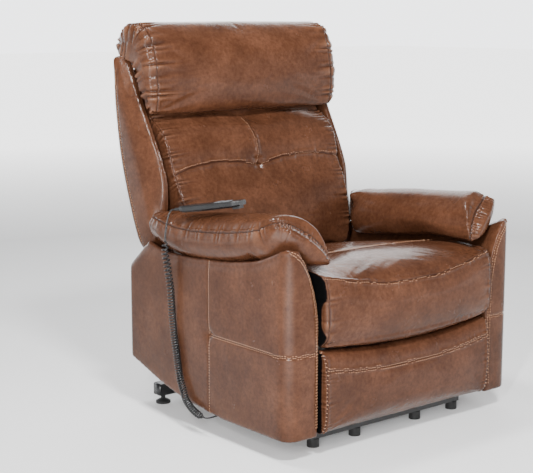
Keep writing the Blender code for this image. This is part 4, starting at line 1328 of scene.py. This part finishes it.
def make_padding(leather, tan, dark):
    seat = shape_seat()
    footrest = shape_footrest()
    back = shape_back()
    pillow = shape_headrest()
    arms = [shape_arm_pad(label, side) for label, side in SIDES]
    arm_swelling = [(pad, no_flat, 0.004, 0.008) for pad in arms]
    puff_all([
        (seat, seat_flat, 0.006, 0.011), (footrest, footrest_flat, 0.004, 0.007),
        (back, back_flat, 0.007, 0.013), (pillow, no_flat, 0.006, 0.011), *arm_swelling,
    ])
    finish_padded(seat, leather, "chassis", "seat_cushion")
    # the seat's sides go near black: lining cloth with painted shadow of the gap beside the arms
    paint_lining_and_gap_shadow(seat.skin, seat_lining_shadow_edge, 0.298)
    stitches("seat_stitching", seat.skin, seat.lines, tan, "chassis")
    finish_padded(footrest, leather, "footrest", "footrest_pad")
    # the footrest's sides go near black: lining cloth with painted shadow of the gap beside the arms
    paint_lining_and_gap_shadow(footrest.skin, lambda z: -0.411 + 0 * z, 0.2995)
    stitches("footrest_stitching", footrest.skin, footrest.lines, tan, "footrest")
    whipped = [(seam.points[::8], 0.0) for seam in footrest.seams[1:]]
    stitches("footrest_whipping", footrest.skin, whipped, tan, "footrest", 0.0105, 0.0075, 0.001, whip=True)
    finish_padded(back, leather, "backrest", "back_cushion")
    stitches("back_stitching", back.skin, back.lines, tan, "backrest", 0.007, 0.005, 0.0006)
    finish_padded(pillow, leather, "backrest", "headrest_pillow")
    for pad, (label, _) in zip(arms, SIDES):
        finish_padded(pad, leather, "chassis", f"arm_pad_{label}")
        stitches(pad.skin.name + "_stitching", pad.skin, pad.lines, dark, "chassis", 0.0065, 0.0048, 0.0007)


def main():
    make_stage()
    leather = leather_material()
    plastic = paint_material("black_plastic", (0.004, 0.004, 0.0045), 0.3, 900.0, 0.00006)
    steel = brushed_material("zinc_steel", (0.5, 0.51, 0.52), 0.32)
    tan = thread_material("tan_thread", (0.42, 0.22, 0.12))
    dark = thread_material("dark_thread", (0.012, 0.007, 0.006))
    paint_nodes({
        "leather": leather,
        "black_steel": paint_material("black_powder_coat", (0.005, 0.005, 0.0055), 0.35, 420.0, 0.0002),
        "bright_steel": steel,
        "black_plastic": plastic,
        "grey_plastic": paint_material("grey_rubber_keys", (0.11, 0.115, 0.12), 0.55, 900.0, 0.0001),
        "rubber": paint_material("black_rubber", (0.006, 0.006, 0.006), 0.65, 500.0, 0.0002),
        "webbing": fabric_material("black_lining", (0.008, 0.008, 0.009)),
    })
    make_cord(plastic)
    make_padding(leather, tan, dark)
    for label, side in SIDES:
        make_arm_panel(label, side, leather, tan)
    for label, side in SIDES:
        make_wing(label, side, leather, tan)
    make_outer_back(leather, tan)
    make_apron(leather, tan)
    make_rivets(steel)
    make_tube_plugs(plastic)


main()
